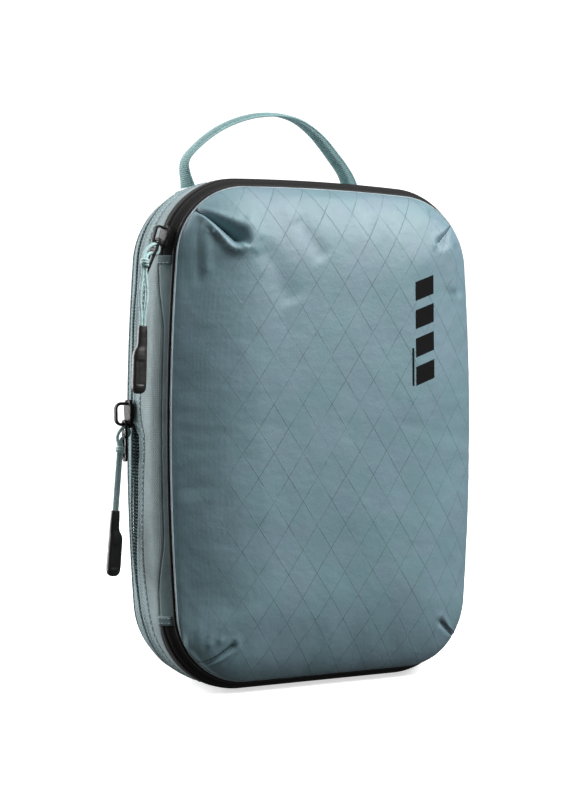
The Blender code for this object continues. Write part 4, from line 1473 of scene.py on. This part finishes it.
# The stitched darts of the corners, from the seam inwards, in x and height from the middle.
UPPER_LEFT_DART = [(-0.0765, 0.1125), (-0.0717, 0.1090), (-0.0645, 0.1030), (-0.0573, 0.0972)]
LOWER_LEFT_DART = [(-0.0745, -0.1138), (-0.0690, -0.1105), (-0.0592, -0.1032)]
UPPER_RIGHT_DART = [(0.0765, 0.1120), (0.0700, 0.1075), (0.0600, 0.0990)]
LOWER_RIGHT_DART = [(0.0775, -0.1105), (0.0700, -0.1060), (0.0610, -0.1000)]
DARTS = (UPPER_LEFT_DART, LOWER_LEFT_DART, UPPER_RIGHT_DART, LOWER_RIGHT_DART)


def front_relief(field):
    """Darts, folds and slack of the lid's panel, in metres off its smooth dome."""
    height = np.zeros(len(field.x))
    # upper left: a stitched dart that ends in a deep pocket with a puffed lip under it
    height += field.dart(UPPER_LEFT_DART, 0.0072, 0.0078, 0.0054, 0.0026, 0.45)
    height += field.ridge([(-0.0715, 0.1060), (-0.0722, 0.0960), (-0.0715, 0.0780)], 0.0008, 0.0022)
    height -= field.ridge([(-0.0735, 0.1080), (-0.0752, 0.0960), (-0.0750, 0.0720)], 0.0006, 0.0018)
    height += field.ridge([(-0.0530, 0.1080), (-0.0470, 0.1030), (-0.0440, 0.0960)], 0.0007, 0.0030)
    height -= field.ridge([(-0.0470, 0.0930), (-0.0380, 0.0810), (-0.0280, 0.0640)], 0.0009, 0.0070)
    height -= field.ridge([(-0.0250, 0.1090), (-0.0180, 0.0990), (-0.0100, 0.0870)], 0.0009, 0.0050)
    # lower left: a short stitched crease with ripples beside it
    height += field.dart(LOWER_LEFT_DART, 0.0020, 0.0028, 0.0025, 0.0005, 0.9)
    ripples = ((-0.0785, 0.020), (-0.0745, 0.026), (-0.0700, 0.017), (-0.0650, 0.012))
    for k, (x, reach) in enumerate(ripples):
        line = [(x, -0.1095 + 0.0025 * k), (x - 0.0006, -0.1095 + reach)]
        height += field.ridge(line, 0.0008, 0.0015, 0.3, 0.7)
    # right corners: shallow darts, with one overlap above
    height += field.dart(UPPER_RIGHT_DART, 0.0024, 0.0050, 0.0040, 0.0008)
    height -= field.ridge([(0.0560, 0.1165), (0.0640, 0.1155), (0.0720, 0.1105)], 0.0014, 0.0022)
    height += field.ridge([(0.0660, 0.1010), (0.0700, 0.0900), (0.0690, 0.0720)], 0.0012, 0.0040)
    height -= field.ridge([(0.0720, 0.1010), (0.0755, 0.0880), (0.0750, 0.0700)], 0.0012, 0.0030)
    height += field.dart(LOWER_RIGHT_DART, 0.0014, 0.0034, 0.0030, 0.0005)
    return height + slack(field, 3.0)


def rear_relief(field):
    """The back panel has the same four darts, all shallow."""
    height = np.zeros(len(field.x))
    for line in DARTS:
        height += field.dart(line, 0.0020, 0.0036, 0.0036, 0.0008)
    return height + slack(field, 11.0)


def slack(field, seed):
    """Loose waves that are strongest near the seams, where the cloth is gathered."""
    found = np.empty(len(field.x))
    for k, (x, z) in enumerate(zip(field.x, field.z)):
        broad = noise.noise(Vector((x * 26, seed, z * 20)))
        fine = noise.noise(Vector((x * 90, seed + 5, z * 60)))
        found[k] = 0.0010 * broad + 0.00022 * fine
    gathered = np.exp(-field.edge / 0.016)
    turn = np.arctan2(field.z, field.x)
    ripple = 0.00011 * np.sin(turn * 46 + 2.2 * np.sin(turn * 5 + seed)) * gathered
    return (found + ripple) * ease(field.edge, 0.0005, 0.006)


def panel_triangles():
    """An even triangle mesh of the panel's flat shape, with rows of points along its darts."""
    count = round(PERIMETER / PANEL_STEP)
    stations = [Station(PERIMETER * k / count) for k in range(count)]
    border = [(s.across, s.height) for s in stations]
    rings = []
    for far_in in PANEL_RINGS:
        rings += [(s.across - s.cosine * far_in, s.height - s.sine * far_in) for s in stations]
    rows = []
    for dart in DARTS:
        spots = smooth_route([Vector((x, z, 0)) for x, z in dart], 17)
        for a, b in zip(spots, spots[1:]):
            normal = Vector((-(b - a).y, (b - a).x, 0)).normalized()
            rows += [(a + normal * (0.0011 * side)).xy[:] for side in (-2, -1, 0, 1, 2)]
    grid = []
    rise = PANEL_STEP * math.sqrt(3) / 2
    for j in range(-round(HALF_HEIGHT / rise), round(HALF_HEIGHT / rise) + 1):
        for k in range(-round(HALF_WIDTH / PANEL_STEP) - 1, round(HALF_WIDTH / PANEL_STEP) + 2):
            grid.append(((k + 0.5 * (j % 2)) * PANEL_STEP, j * rise))
    field = Field(*np.array(grid).T)
    clear = PANEL_RINGS[-1] + PANEL_STEP * 0.6
    inside = rings + [p for p, e, s in zip(grid, field.edge, field.share) if s < 1 and e > clear]
    dart_field = Field(*np.array(rows).T)
    rows = [p for p, e, s in zip(rows, dart_field.edge, dart_field.share) if s < 1 and e > 0.0012]
    near = np.array(rows)
    inside = [p for p in inside if np.hypot(near[:, 0] - p[0], near[:, 1] - p[1]).min() > 0.0014]
    points = [Vector(p) for p in border + rows + inside]
    edges = [(k, (k + 1) % count) for k in range(count)]
    found = delaunay_2d_cdt(points, edges, [], 1, 1e-6)
    return [(p.x, p.y) for p in found[0]], [tuple(f) for f in found[2]]


def inflate(mesh, cap):
    """Lets the panel billow under pressure with its edge held, and keeps a share of it."""
    start = np.array([v.co for v in mesh.vertices], float)
    last_frame = 20
    piece = in_scene("billow", mesh)
    held = piece.vertex_groups.new(name="held")
    bm = bmesh.new()
    bm.from_mesh(mesh)
    held.add([v.index for v in bm.verts if v.is_boundary], 1.0, "REPLACE")
    bm.free()
    cloth = piece.modifiers.new("Cloth", "CLOTH")
    cloth.settings.quality = 8
    cloth.settings.mass = 0.12
    cloth.settings.tension_stiffness = 20
    cloth.settings.compression_stiffness = 8
    cloth.settings.shear_stiffness = 8
    cloth.settings.bending_stiffness = 0.35
    cloth.settings.vertex_group_mass = "held"
    cloth.settings.shrink_min = -0.012
    cloth.settings.shrink_max = -0.012
    cloth.settings.use_pressure = True
    cloth.settings.uniform_pressure_force = 4.0
    cloth.settings.effector_weights.gravity = 0.0
    cloth.collision_settings.use_collision = False
    scene = bpy.context.scene
    for k in range(1, last_frame + 1):
        scene.frame_set(k)
    evaluated = piece.evaluated_get(bpy.context.evaluated_depsgraph_get())
    moved = np.array([v.co for v in evaluated.data.vertices], float) - start
    bpy.data.objects.remove(piece)
    scene.frame_set(1)
    farthest = float(np.linalg.norm(moved, axis=1).max())
    kept = start + moved * min(1.0, cap / max(farthest, 1e-9))
    mesh.vertices.foreach_set("co", kept.astype(np.float32).ravel())
    mesh.update()


def overhang(edge):
    """Where the cloth hangs out over its seam: nothing at the edge, most just inside it."""
    return ease(edge, 0.0, 0.0035) * (1 - ease(edge, 0.006, 0.030))


def lid_flank(x, z):
    """How soon the lid's dome rises: its left flank is pulled flatter than the rest."""
    flat = ease(-x, 0.010, 0.055) * ease(-abs(z), -0.112, -0.080)
    return FLANK_BULGE + (FLAT_FLANK - FLANK_BULGE) * flat


def rear_flank(x, z):
    """The back's dome rises alike on all its sides."""
    return FLANK_BULGE


def build_panel(name, direction, edge_depth, dome, flank, relief, sag, cap, body, replaced):
    """A domed panel: a triangle mesh that billows, then takes its darts and slack.

    direction is -1 towards the front and 1 towards the back, sag is how far the cloth hangs
    over its lower seam, and cap is the farthest that the billowing may move it.
    """
    spots, triangles = panel_triangles()
    x, z = np.array(spots).T
    field = Field(x, z)
    inward = np.clip(field.edge / PANEL_SHOULDER, 0, 1)
    rise = dome * (0.93 * (1 - (1 - inward) ** 2) ** flank(x, z) + 0.07 * (1 - field.share**2))
    y = FRONT_SEAM_Y + edge_depth + direction * rise
    mesh = bpy.data.meshes.new(name)
    mesh.from_pydata(list(zip(x, y, z + CENTRE_Z)), [], triangles)
    with editing(mesh) as bm:
        bmesh.ops.recalc_face_normals(bm, faces=bm.faces)
        if sum(f.normal.y for f in bm.faces) * direction < 0:
            bmesh.ops.reverse_faces(bm, faces=bm.faces)
    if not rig.quick():
        inflate(mesh, cap)
    holder = in_scene(name, mesh)
    finer = holder.modifiers.new("finer", "SUBSURF")
    finer.levels = 1
    finer.render_levels = 1
    finer.boundary_smooth = "PRESERVE_CORNERS"
    fine = applied(holder)
    place = np.array([v.co for v in fine.vertices], float)
    normal = np.array([v.normal for v in fine.vertices], float)
    fine_field = Field(place[:, 0], place[:, 2] - CENTRE_Z)
    place += normal * relief(fine_field)[:, None]
    place[:, 2] -= sag * ease(-fine_field.z, 0.05, 0.115) * overhang(fine_field.edge)
    fine.vertices.foreach_set("co", place.astype(np.float32).ravel())
    fine.update()
    fine.shade_smooth()
    piece = link(name, fine, RIPSTOP, None, "coated_ripstop", replaced)
    thick = piece.modifiers.new("thickness", "SOLIDIFY")
    thick.thickness = 0.0004
    thick.offset = -1.0
    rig.ride(piece, body)
    return piece


shape = (-1, -0.0004, FRONT_DOME, lid_flank, front_relief)
front_panel = build_panel("front_fabric", *shape, sag=0.0026, cap=0.0016, body="lid", replaced="front_panel")
shape = (1, REAR_PANEL_EDGE - 0.0006, REAR_DOME, rear_flank, rear_relief)
build_panel("rear_fabric", *shape, sag=0.0, cap=0.0014, body="rear_section", replaced="rear_panel")


LID_SURFACE = BVHTree.FromPolygons(
    [v.co for v in front_panel.data.vertices], [p.vertices for p in front_panel.data.polygons]
)


def on_lid(x, z):
    """The place on the lid's panel that faces the front there, and the way it faces."""
    hit, normal, _, _ = LID_SURFACE.ray_cast(Vector((x, -0.2, z + CENTRE_Z)), BACKWARDS)
    return hit, normal


def build_dart_stitches():
    """Dark stitches along each dart of the lid."""
    parts = []
    for line in DARTS:
        spots = smooth_route([Vector((x, 0, z)) for x, z in line], 60)
        places = []
        for spot in spots:
            hit, normal = on_lid(spot.x, spot.z)
            if hit is not None:
                places.append((hit + normal * 0.0001, normal))
        parts += stitch_row(places)
    link_stitches("dart_stitches", parts, BLACK_THREAD, "lid", "coated_ripstop")


build_dart_stitches()


# ---- the printed mark ------------------------------------------------
def build_print():
    """A plain mark: a column of slanted blocks beside a thin bar, printed on the panel."""
    left = 0.0425
    right = 0.0545
    low = 0.024
    count = 4
    pitch = 0.0147
    tall = 0.0098
    slant = 0.0042
    bar_left = left - 0.0024
    bar_right = left - 0.0012
    bar_top = low + tall * 2
    patches = []
    for k in range(count):
        base = low + pitch * k
        raised = base + slant
        patches.append(((left, base), (right, raised), (right, raised + tall), (left, base + tall)))
    patches.append(((bar_left, low), (bar_right, low), (bar_right, bar_top), (bar_left, bar_top)))
    verts = []
    faces = []
    across = 10
    up = 14
    for corners in patches:
        start = len(verts)
        a, b, c, d = (Vector(p) for p in corners)
        for j in range(up + 1):
            for k in range(across + 1):
                spot = a.lerp(b, k / across).lerp(d.lerp(c, k / across), j / up)
                hit, _ = on_lid(spot.x, spot.y)
                verts.append(hit + Vector((0, -0.00012, 0)))
        for j in range(up):
            for k in range(across):
                corner = start + j * (across + 1) + k
                faces.append((corner, corner + 1, corner + across + 2, corner + across + 1))
    mesh = mesh_of("front_print", verts, faces, smooth_angle=None, turn_out=False)
    with editing(mesh) as bm:
        for face in bm.faces:
            if face.normal.y > 0:
                face.normal_flip()
    link("front_print", mesh, INK, "lid", "black_piping")


build_print()


# ---- wall bands ------------------------------------------------------
SEAM_GAP = 0.0002         # between the spine or main zip and the gusset
MEETING_GAP = 0.00008     # either side of the main zip's line


def build_gusset():
    """The plain band of wall between the main zip and the compression zip."""

    def lift(station, depth, share):
        return wall_relief(station, depth) + rolled(share, 0.06, 0.0003)

    front = past(spine_back, SEAM_GAP)
    mesh = band_mesh("gusset", FABRIC_RING, front, gusset_back, 16, lift, FABRIC)
    link("gusset", mesh, GUSSET_CLOTH, "case", "gusset_fabric", "middle_gusset")


def build_spine():
    """The band on the left that the lid turns on, where the main zip leaves off."""

    def lift(station, depth, share):
        ripple = 0.00018 * noise.noise(Vector((station.height * 160, depth * 200, 3.0)))
        return ripple + rolled(share, 0.10, 0.0003)

    mesh = band_mesh("spine", SPINE, fixed(0.0006), spine_back, 12, lift, FABRIC, closed=False)
    link("spine", mesh, SPINE_CLOTH, "case", "spine_fabric", "spine_panel")


def build_spine_tab(name, bottom, stitch_rises, replaced):
    """A folded end of the spine, sewn down over the zip's end."""
    front = 0.0019
    stitch_pitch = 0.0017
    low = left_walk(bottom)
    high = left_walk(bottom + TAB_LENGTH)
    if low > high:
        high += PERIMETER
    stations = even_stations(low, high, 0.0004)

    def lift(station, depth, share):
        along = (station.walk - low) / (high - low)
        fold = 1 - smooth_step(min(along, 1 - along), 0.0, 0.12)
        return 0.0012 - 0.0007 * fold**2 + rolled(share, 0.06, 0.0004)

    back = past(spine_back, 0.0003)
    mesh = band_mesh(name, stations, fixed(front), back, 14, lift, 0.0012, closed=False)
    link(name, mesh, SPINE_CLOTH, "case", "spine_fabric", replaced)
    parts = []
    for rise in stitch_rises:
        station = Station(left_walk(bottom + rise))
        for k in range(4):
            start = front + 0.0004 + stitch_pitch * k
            a = station.point(start, 0.0013)
            b = station.point(start + 0.0012, 0.0013)
            parts.append(capsule(a, b, THREAD_RADIUS, station.out()))
    link_stitches(f"{name}_stitches", parts, PALE_THREAD, "case", "spine_fabric")


def build_main_zip():
    """The black reverse-coil zip: two tapes whose folded edges meet over the coils."""

    def bead(far):
        return 0.00055 * (1 - smooth_step(far, 0.0015, 0.0034))

    def tooth_bump(station, far):
        phase = math.cos(math.tau * station.walk / TOOTH_PITCH)
        return 0.00005 * phase * (1 - smooth_step(far, 0.0006, 0.0026))

    def lift(station, depth, edge):
        far = abs(depth - MAIN_ZIP_LINE)
        roll = -0.0006 * (1 - smooth_step(edge, 0.0, 0.10)) ** 2
        return bead(far) + tooth_bump(station, far) + roll

    def lid_lift(station, depth, share):
        return lift(station, depth, 1 - share)

    meeting = fixed(MAIN_ZIP_LINE - MEETING_GAP)
    tape = band_mesh("lid_zip_tape", ZIP, fixed(0.0008), meeting, 13, lid_lift, TAPE, closed=False)
    link("lid_zip_tape", tape, BLACK_TWILL, "lid", "black_zip_tape", "main_zip_lid_tape")
    meeting = fixed(MAIN_ZIP_LINE + MEETING_GAP)
    back = past(spine_back, SEAM_GAP)
    tape = band_mesh("case_zip_tape", ZIP, meeting, back, 13, lift, TAPE, closed=False)
    link("case_zip_tape", tape, BLACK_TWILL, "case", "black_zip_tape", "main_zip_case_tape")


class Coil:
    """The nylon coils of one zip: a flat helix of wire each, half a tooth apart.

    inner is how far the helix's middle lies from the zip's line, spread is half its width,
    rise is its height over the wall, and wire is the wire's radius.
    """

    def __init__(self, low, high, line, surface, slot, inner, spread, rise, wire):
        self.low = low
        self.high = high
        self.line = line
        self.inner = inner
        self.spread = spread
        self.rise = rise
        self.wire = wire
        self.surface = surface
        self.slot = slot

    def path(self, side):
        """The wire's middle, which crosses the zip's line at each tooth."""
        per_turn = 10
        half_height = 0.00042
        shift = TOOTH_PITCH * (0.0 if side < 0 else 0.5)
        turns = round((self.high - self.low) / TOOTH_PITCH)
        points = []
        for k in range(turns * per_turn):
            walk = self.low + (self.high - self.low) * k / (turns * per_turn)
            station = Station(walk + shift)
            turn = math.tau * k / per_turn
            depth = self.line(station) + side * (self.inner - self.spread * math.cos(turn))
            points.append(station.point(depth, self.rise + half_height * math.sin(turn)))
        return points

    def build(self, name, side, body, replaced):
        all_round = self.high - self.low == PERIMETER
        mesh = tube_mesh(name, self.path(side), self.wire, 5, closed=all_round)
        link(name, mesh, self.surface, body, self.slot, replaced)


def build_coils():
    """Both zips' coils: two halves each, on the two bodies that the zip joins."""
    sizes = {"inner": 0.00105, "spread": 0.00135, "rise": -0.00095, "wire": 0.00029}
    main = Coil(ZIP_START, ZIP_END, fixed(MAIN_ZIP_LINE), BLACK_COIL, "black_zip_coil", **sizes)
    main.build("lid_zip_coil", -1, "lid", "main_zip_lid_coil")
    main.build("case_zip_coil", 1, "case", "main_zip_case_coil")
    sizes = {"inner": 0.00165, "spread": 0.00205, "rise": -0.00085, "wire": 0.00038}
    compression = Coil(0.0, PERIMETER, zip_line, DARK_COIL_AND_SLIT_SHADE, "dark_zip_coil", **sizes)
    compression.build("front_compression_coil", -1, "case", "compression_zip_front_coil")
    compression.build("rear_compression_coil", 1, "rear_section", "compression_zip_rear_coil")


def slit(station):
    """Half the width of the slit between the compression zip's tapes."""
    closed = 0.00100
    widest = 0.0048
    if station.across > LEFT_SIDE:
        return closed
    height = station.height
    opened = smooth_step(height, -0.090, -0.040) * (1 - smooth_step(height, -0.002, 0.004))
    return closed + (widest - closed) * opened


def build_teeth(name, side, body):
    """The tooth ends that show between the tapes' folded edges, in a lighter copy of the coil's colour: a painted
    highlight.
    """
    parts = []
    count = round(PERIMETER / TOOTH_SHOWN)
    for k in range(count):
        station = Station(PERIMETER * k / count)
        middle = zip_line(station)
        wide = slit(station)
        surface = wall_relief(station, middle)
        near = station.point(middle + side * 0.00003, surface - 0.00025)
        far = station.point(middle + side * (wide + 0.0003), surface - 0.00005)
        parts.append(capsule(near, far, 0.00034, station.out(), 5))
    link_stitches(name, parts, LIT_TEETH, body, "dark_zip_coil")


def build_slit_shade_sheet(name, side, body):
    """A dark sheet under one half of the compression zip's slit, in the coil's colour: painted shade inside the slit.
    """

    def lift(station, depth, share):
        return wall_relief(station, depth) - 0.0011

    def inner(station):
        return zip_line(station) + side * 0.00002

    def outer(station):
        return zip_line(station) + side * (slit(station) + 0.0012)

    front, back = (inner, outer) if side > 0 else (outer, inner)
    mesh = band_mesh(name, FABRIC_RING, front, back, 5, lift, 0.0005)
    link(name, mesh, DARK_COIL_AND_SLIT_SHADE, body, "dark_zip_coil")


def bump(distance, width):
    """A rounded rise from 1 at no distance down to nothing."""
    return math.exp(-((distance / width) ** 2))


def slider_tuck(station, depth):
    """The slanted tuck in which the front tape gathers beside the parked slider."""
    if station.across > LEFT_SIDE:
        return 0.0
    low = COMPRESSION_SLIDER_HEIGHT - 0.0055
    offset = depth - (zip_line(station) - 0.0052)
    line = station.height - (low + offset * 0.7)
    ribs = 0.22 * math.cos(math.tau * line / 0.0011) * bump(line, 0.0035)
    tuck = bump(line, 0.0011) - 0.6 * bump(line + 0.0026, 0.0013)
    return 0.0011 * bump(offset, 0.0042) * (tuck + ribs)


def build_compression_tapes():
    """Two teal twill tapes, with a slit between their folded edges."""

    def lift(station, depth, share):
        far = abs(depth - zip_line(station)) - slit(station)
        bead = 0.00055 * (1 - smooth_step(far, 0.0012, 0.0036))
        roll = -0.00055 * (1 - smooth_step(far, 0.0, 0.0008)) ** 2
        phase = math.cos(math.tau * station.walk / TOOTH_PITCH)
        teeth = 0.00007 * phase * (1 - smooth_step(far, 0.0004, 0.0022))
        groove = -0.00022 * bump(far - 0.0046, 0.0004)
        return wall_relief(station, depth) + bead + roll + teeth + groove + slider_tuck(station, depth)

    def front_fold(station):
        return zip_line(station) - slit(station)

    def rear_fold(station):
        return zip_line(station) + slit(station)

    name = "front_compression_tape"
    mesh = band_mesh(name, TOOTH_RING, past(gusset_back, 0.0001), front_fold, 15, lift, TAPE)
    link(name, mesh, TWILL, "case", "teal_zip_twill", "compression_zip_front_tape")
    name = "rear_compression_tape"
    mesh = band_mesh(name, TOOTH_RING, rear_fold, fixed(REAR_TAPE_END + 0.0006), 17, lift, TAPE)
    link(name, mesh, TWILL, "rear_section", "teal_zip_twill", "compression_zip_rear_tape")


def build_topstitching():
    """A row of stitches along each outer edge of the compression zip."""
    stations = ring_stations(0.0007)
    front_row = wall_stitches(stations, past(gusset_back, 0.0011))
    link_stitches("gusset_topstitch", front_row, TEAL_THREAD, "case", "teal_zip_twill")
    rear_row = wall_stitches(stations, fixed(REAR_TAPE_END - 0.0012))
    link_stitches("rear_topstitch", rear_row, TEAL_THREAD, "rear_section", "teal_zip_twill")


def build_piping(name, depth, radius, lift, surface, slot, body, *replaced):
    """A cord in a folded strip, slightly lumpy."""
    stations = ring_stations(0.0012)
    sides = 12
    sections = []
    weave = []
    for station in stations:
        middle = station.point(depth, lift)
        out = station.out()
        lump = 1 + 0.05 * noise.noise(Vector((middle.x * 140, depth * 100, middle.z * 140)))
        ring = []
        marks = []
        for j in range(sides):
            turn = math.tau * j / sides
            around = out * math.cos(turn) + BACKWARDS * math.sin(turn)
            ring.append(middle + around * (radius * lump))
            marks.append((station.walk, radius * turn))
        sections.append(ring)
        weave.append(marks)
    mesh = skin_mesh(name, sections, True, weave)
    link(name, mesh, surface, body, slot, *replaced)


def build_binding(name, front, back, height, thickness, body, replaced):
    """Tape folded over a seam's raw edges, on the inside."""

    def lift(station, depth, share):
        return height + 0.0004 * math.sin(math.pi * share)

    mesh = band_mesh(name, FABRIC_RING, front, back, 8, lift, thickness)
    link(name, mesh, BINDING_CLOTH, body, "seam_binding", replaced)


def build_pleat():
    """The folded cloth behind the compression zip, which opens out as the case grows.

    Its edges keep to fixed depths, just past the two planes that its blend runs between.
    """
    fold_depth = 0.0165
    outer_face = -0.0019
    thickness = 0.0006
    past_plane = 0.0004
    rows = 26
    sections = []
    weave = []
    for station in FABRIC_RING:
        ring = []
        marks = []
        for j in range(rows + 1):
            share = j / rows
            depth = PLEAT_FRONT + (PLEAT_BACK - PLEAT_FRONT) * share
            rise = 1 - abs(2 * share - 1) ** 1.6
            wave = 0.0006 * noise.noise(Vector((station.across * 60, share * 3, station.height * 60)))
            ring.append(station.point(depth, outer_face - fold_depth * rise + wave * rise))
            marks.append((station.walk, 0.04 * share))
        back = [p - station.out() * thickness for p in reversed(ring)]
        sections.append(ring + back)
        weave.append(marks + marks[::-1])
    mesh = skin_mesh("pleat", sections, True, weave)
    piece = link("pleat", mesh, GUSSET_CLOTH, None, "gusset_fabric", "expansion_gusset")
    low = Vector((0, FRONT_SEAM_Y + PLEAT_FRONT + past_plane, 0))
    high = Vector((0, FRONT_SEAM_Y + PLEAT_BACK - past_plane, 0))
    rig.blend(piece, "case", "rear_section", start=low, end=high)


build_gusset()
build_spine()
build_spine_tab("spine_upper_tab", SPINE_TOP - TAB_LENGTH, (0.0006,), "spine_top_tab")
build_spine_tab("spine_lower_tab", SPINE_BOTTOM, (0.0014, 0.0036), "spine_bottom_tab")
build_main_zip()
build_coils()
build_compression_tapes()
# dark sheets under the compression zip's slit: painted shade
build_slit_shade_sheet("front_slit_shade", -1, "case")
build_slit_shade_sheet("rear_slit_shade", 1, "rear_section")
build_teeth("front_teeth", -1, "case")
build_teeth("rear_teeth", 1, "rear_section")
build_topstitching()
# pipings: depth, radius and lift off the wall
build_piping("lid_piping", 0.0007, 0.0011, 0.0001, PIPING_CLOTH, "black_piping", "lid", "front_piping")
# the lid panel's rolled edge, in pale cloth that paints the highlight along it
build_piping("lid_edge_highlight", -0.0011, 0.00042, 0.0001, EDGE_HIGHLIGHT_CLOTH, "coated_ripstop", "lid")
back = ("spine_fabric", "rear_section", "rear_piping")
build_piping("back_piping", REAR_SEAM, 0.0011, 0.0, SPINE_CLOTH, *back)
# bindings: front and back depths, lift off the wall and thickness
build_binding("lid_binding", fixed(0.0014), fixed(0.0034), -0.0055, 0.0014, "lid", "lid_seam_binding")
rear = ("rear_section", "rear_seam_binding")
build_binding("back_binding", fixed(0.0436), fixed(0.0456), -0.0030, 0.0014, *rear)
edges = (past(gusset_back, -0.0009), past(gusset_back, 0.0009))
build_binding("case_binding", *edges, -0.0015, 0.0020, "case", "case_seam_binding")
build_pleat()


# ---- handle ----------------------------------------------------------
HANDLE_DEPTH = 0.0486
HANDLE_LEFT = -0.0570
HANDLE_RIGHT = 0.0430
HANDLE_AXIS_Z = CENTRE_Z + 0.1330
HANDLE_THICKNESS = 0.0014
HANDLE_WIDTH = 0.0102
RIB_PITCH = 0.00105
ANCHOR_HALF_LENGTH = 0.006
ANCHOR_HALF_WIDTH = 0.0016
# The strap's middle, as pairs of distance right of the middle and height over its axis.
HANDLE_ARCH = [
    (HANDLE_LEFT, -0.0040),
    (HANDLE_LEFT - 0.0018, 0.009),
    (-0.0520, 0.018),
    (-0.0375, 0.0290),
    (-0.0205, 0.0360),
    (-0.0050, 0.0380),
    (0.0080, 0.0357),
    (0.0195, 0.0288),
    (0.0300, 0.0182),
    (0.0380, 0.0082),
    (HANDLE_RIGHT, -0.0035),
]
# How far the strap is turned, in degrees, at each share of its length.
HANDLE_TWIST = (
    (0.0, 26), (0.03, 14), (0.08, 6), (0.20, 10), (0.35, 14), (0.48, 15),
    (0.56, 9), (0.66, -2), (0.76, -12), (0.90, -18), (0.97, -30), (1.0, -60),
)


def build_handle():
    """A grosgrain strap, cupped a little and twisted towards its sewn ends."""
    y = FRONT_SEAM_Y + HANDLE_DEPTH
    spots = [Vector((x, y, HANDLE_AXIS_Z + z)) for x, z in HANDLE_ARCH]
    length = length_of(smooth_route(spots, 200))
    count = round(length / (RIB_PITCH / 4))
    route = smooth_route(spots, count)
    across_steps = 12
    sections = []
    weave = []
    walked = 0.0
    for k, p in enumerate(route):
        before = route[max(0, k - 1)]
        after = route[min(len(route) - 1, k + 1)]
        along = (after - before).normalized()
        face = along.cross(BACKWARDS).normalized()
        turn = math.radians(along_table(walked / length, HANDLE_TWIST))
        wide = BACKWARDS * math.cos(turn) + face * math.sin(turn)
        thin = along.cross(wide).normalized()
        rib = 0.00022 * math.cos(math.tau * walked / RIB_PITCH)
        cup = 0.0006 + 0.0009 * smooth_step(walked / length, 0.55, 0.75)
        top = []
        low = []
        marks = []
        for j in range(across_steps + 1):
            share = 2 * j / across_steps - 1
            edge = 1 - abs(share) ** 6 * 0.7
            middle = p + wide * (share * HANDLE_WIDTH / 2) + thin * (cup * (1 - abs(share) ** 1.2))
            half = (HANDLE_THICKNESS / 2 + rib) * edge
            top.append(middle + thin * half)
            low.append(middle - thin * half)
            marks.append((walked, share * HANDLE_WIDTH / 2))
        sections.append(top + low[::-1])
        weave.append(marks + marks[::-1])
        if k + 1 < len(route):
            walked += (route[k + 1] - p).length
    mesh = skin_mesh("handle_strap", sections, False, weave)
    link("handle_strap", mesh, WEBBING, "handle", "handle_webbing", "handle_webbing")


def build_anchor(name, x, replaced):
    """The strap's sewn end: a flat fold on the seam with a bar of stitches."""
    station = min(FABRIC_RING, key=lambda s: abs(s.point(HANDLE_DEPTH).x - x) + (s.height < 0))
    out = station.out()
    along_seam = Vector((out.z, 0, -out.x))
    place = station.point(HANDLE_DEPTH, 0.0016)
    half_height = 0.0012
    rim = squared(16, 0.6, 0.6)
    sections = []
    weave = []
    steps = 24
    for k in range(steps + 1):
        share = 2 * k / steps - 1
        reach = share * ANCHOR_HALF_LENGTH
        near = 1 - abs(share) ** 8
        rib = 1 + 0.05 * math.cos(math.tau * reach / RIB_PITCH)
        ring = []
        marks = []
        for j, (square, flat) in enumerate(rim):
            wide = square * ANCHOR_HALF_WIDTH * rib
            tall = flat * half_height * (0.75 + 0.25 * near)
            ring.append(place + along_seam * reach + BACKWARDS * wide + out * tall)
            marks.append((reach, ANCHOR_HALF_WIDTH * math.tau * j / len(rim)))
        sections.append(ring)
        weave.append(marks)
    mesh = skin_mesh(name, sections, False, weave)
    link(name, mesh, WEBBING, "rear_section", "handle_webbing", replaced)
    parts = []
    for k in range(9):
        spot = place + along_seam * (-0.0048 + 0.0012 * k) - BACKWARDS * (ANCHOR_HALF_WIDTH + 0.0001)
        tilt = 0.0008 if k % 2 else -0.0008
        low = spot - along_seam * 0.0003 - out * tilt
        high = spot + along_seam * 0.0006 + out * tilt
        parts.append(capsule(low, high, THREAD_RADIUS, -BACKWARDS))
    link_stitches(f"{name}_stitches", parts, PALE_THREAD, "rear_section", "handle_webbing")


build_handle()
build_anchor("left_anchor", HANDLE_LEFT, "handle_anchor_left")
build_anchor("right_anchor", HANDLE_RIGHT, "handle_anchor_right")

# ---- sizes, written to extents.json ----------------------------------
with open("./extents.json", "w") as out:
    boxes = {"cad": CAD_BOX, "visual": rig.bounds()}
    json.dump({k: [[float(v) for v in corner] for corner in box] for k, box in boxes.items()}, out)
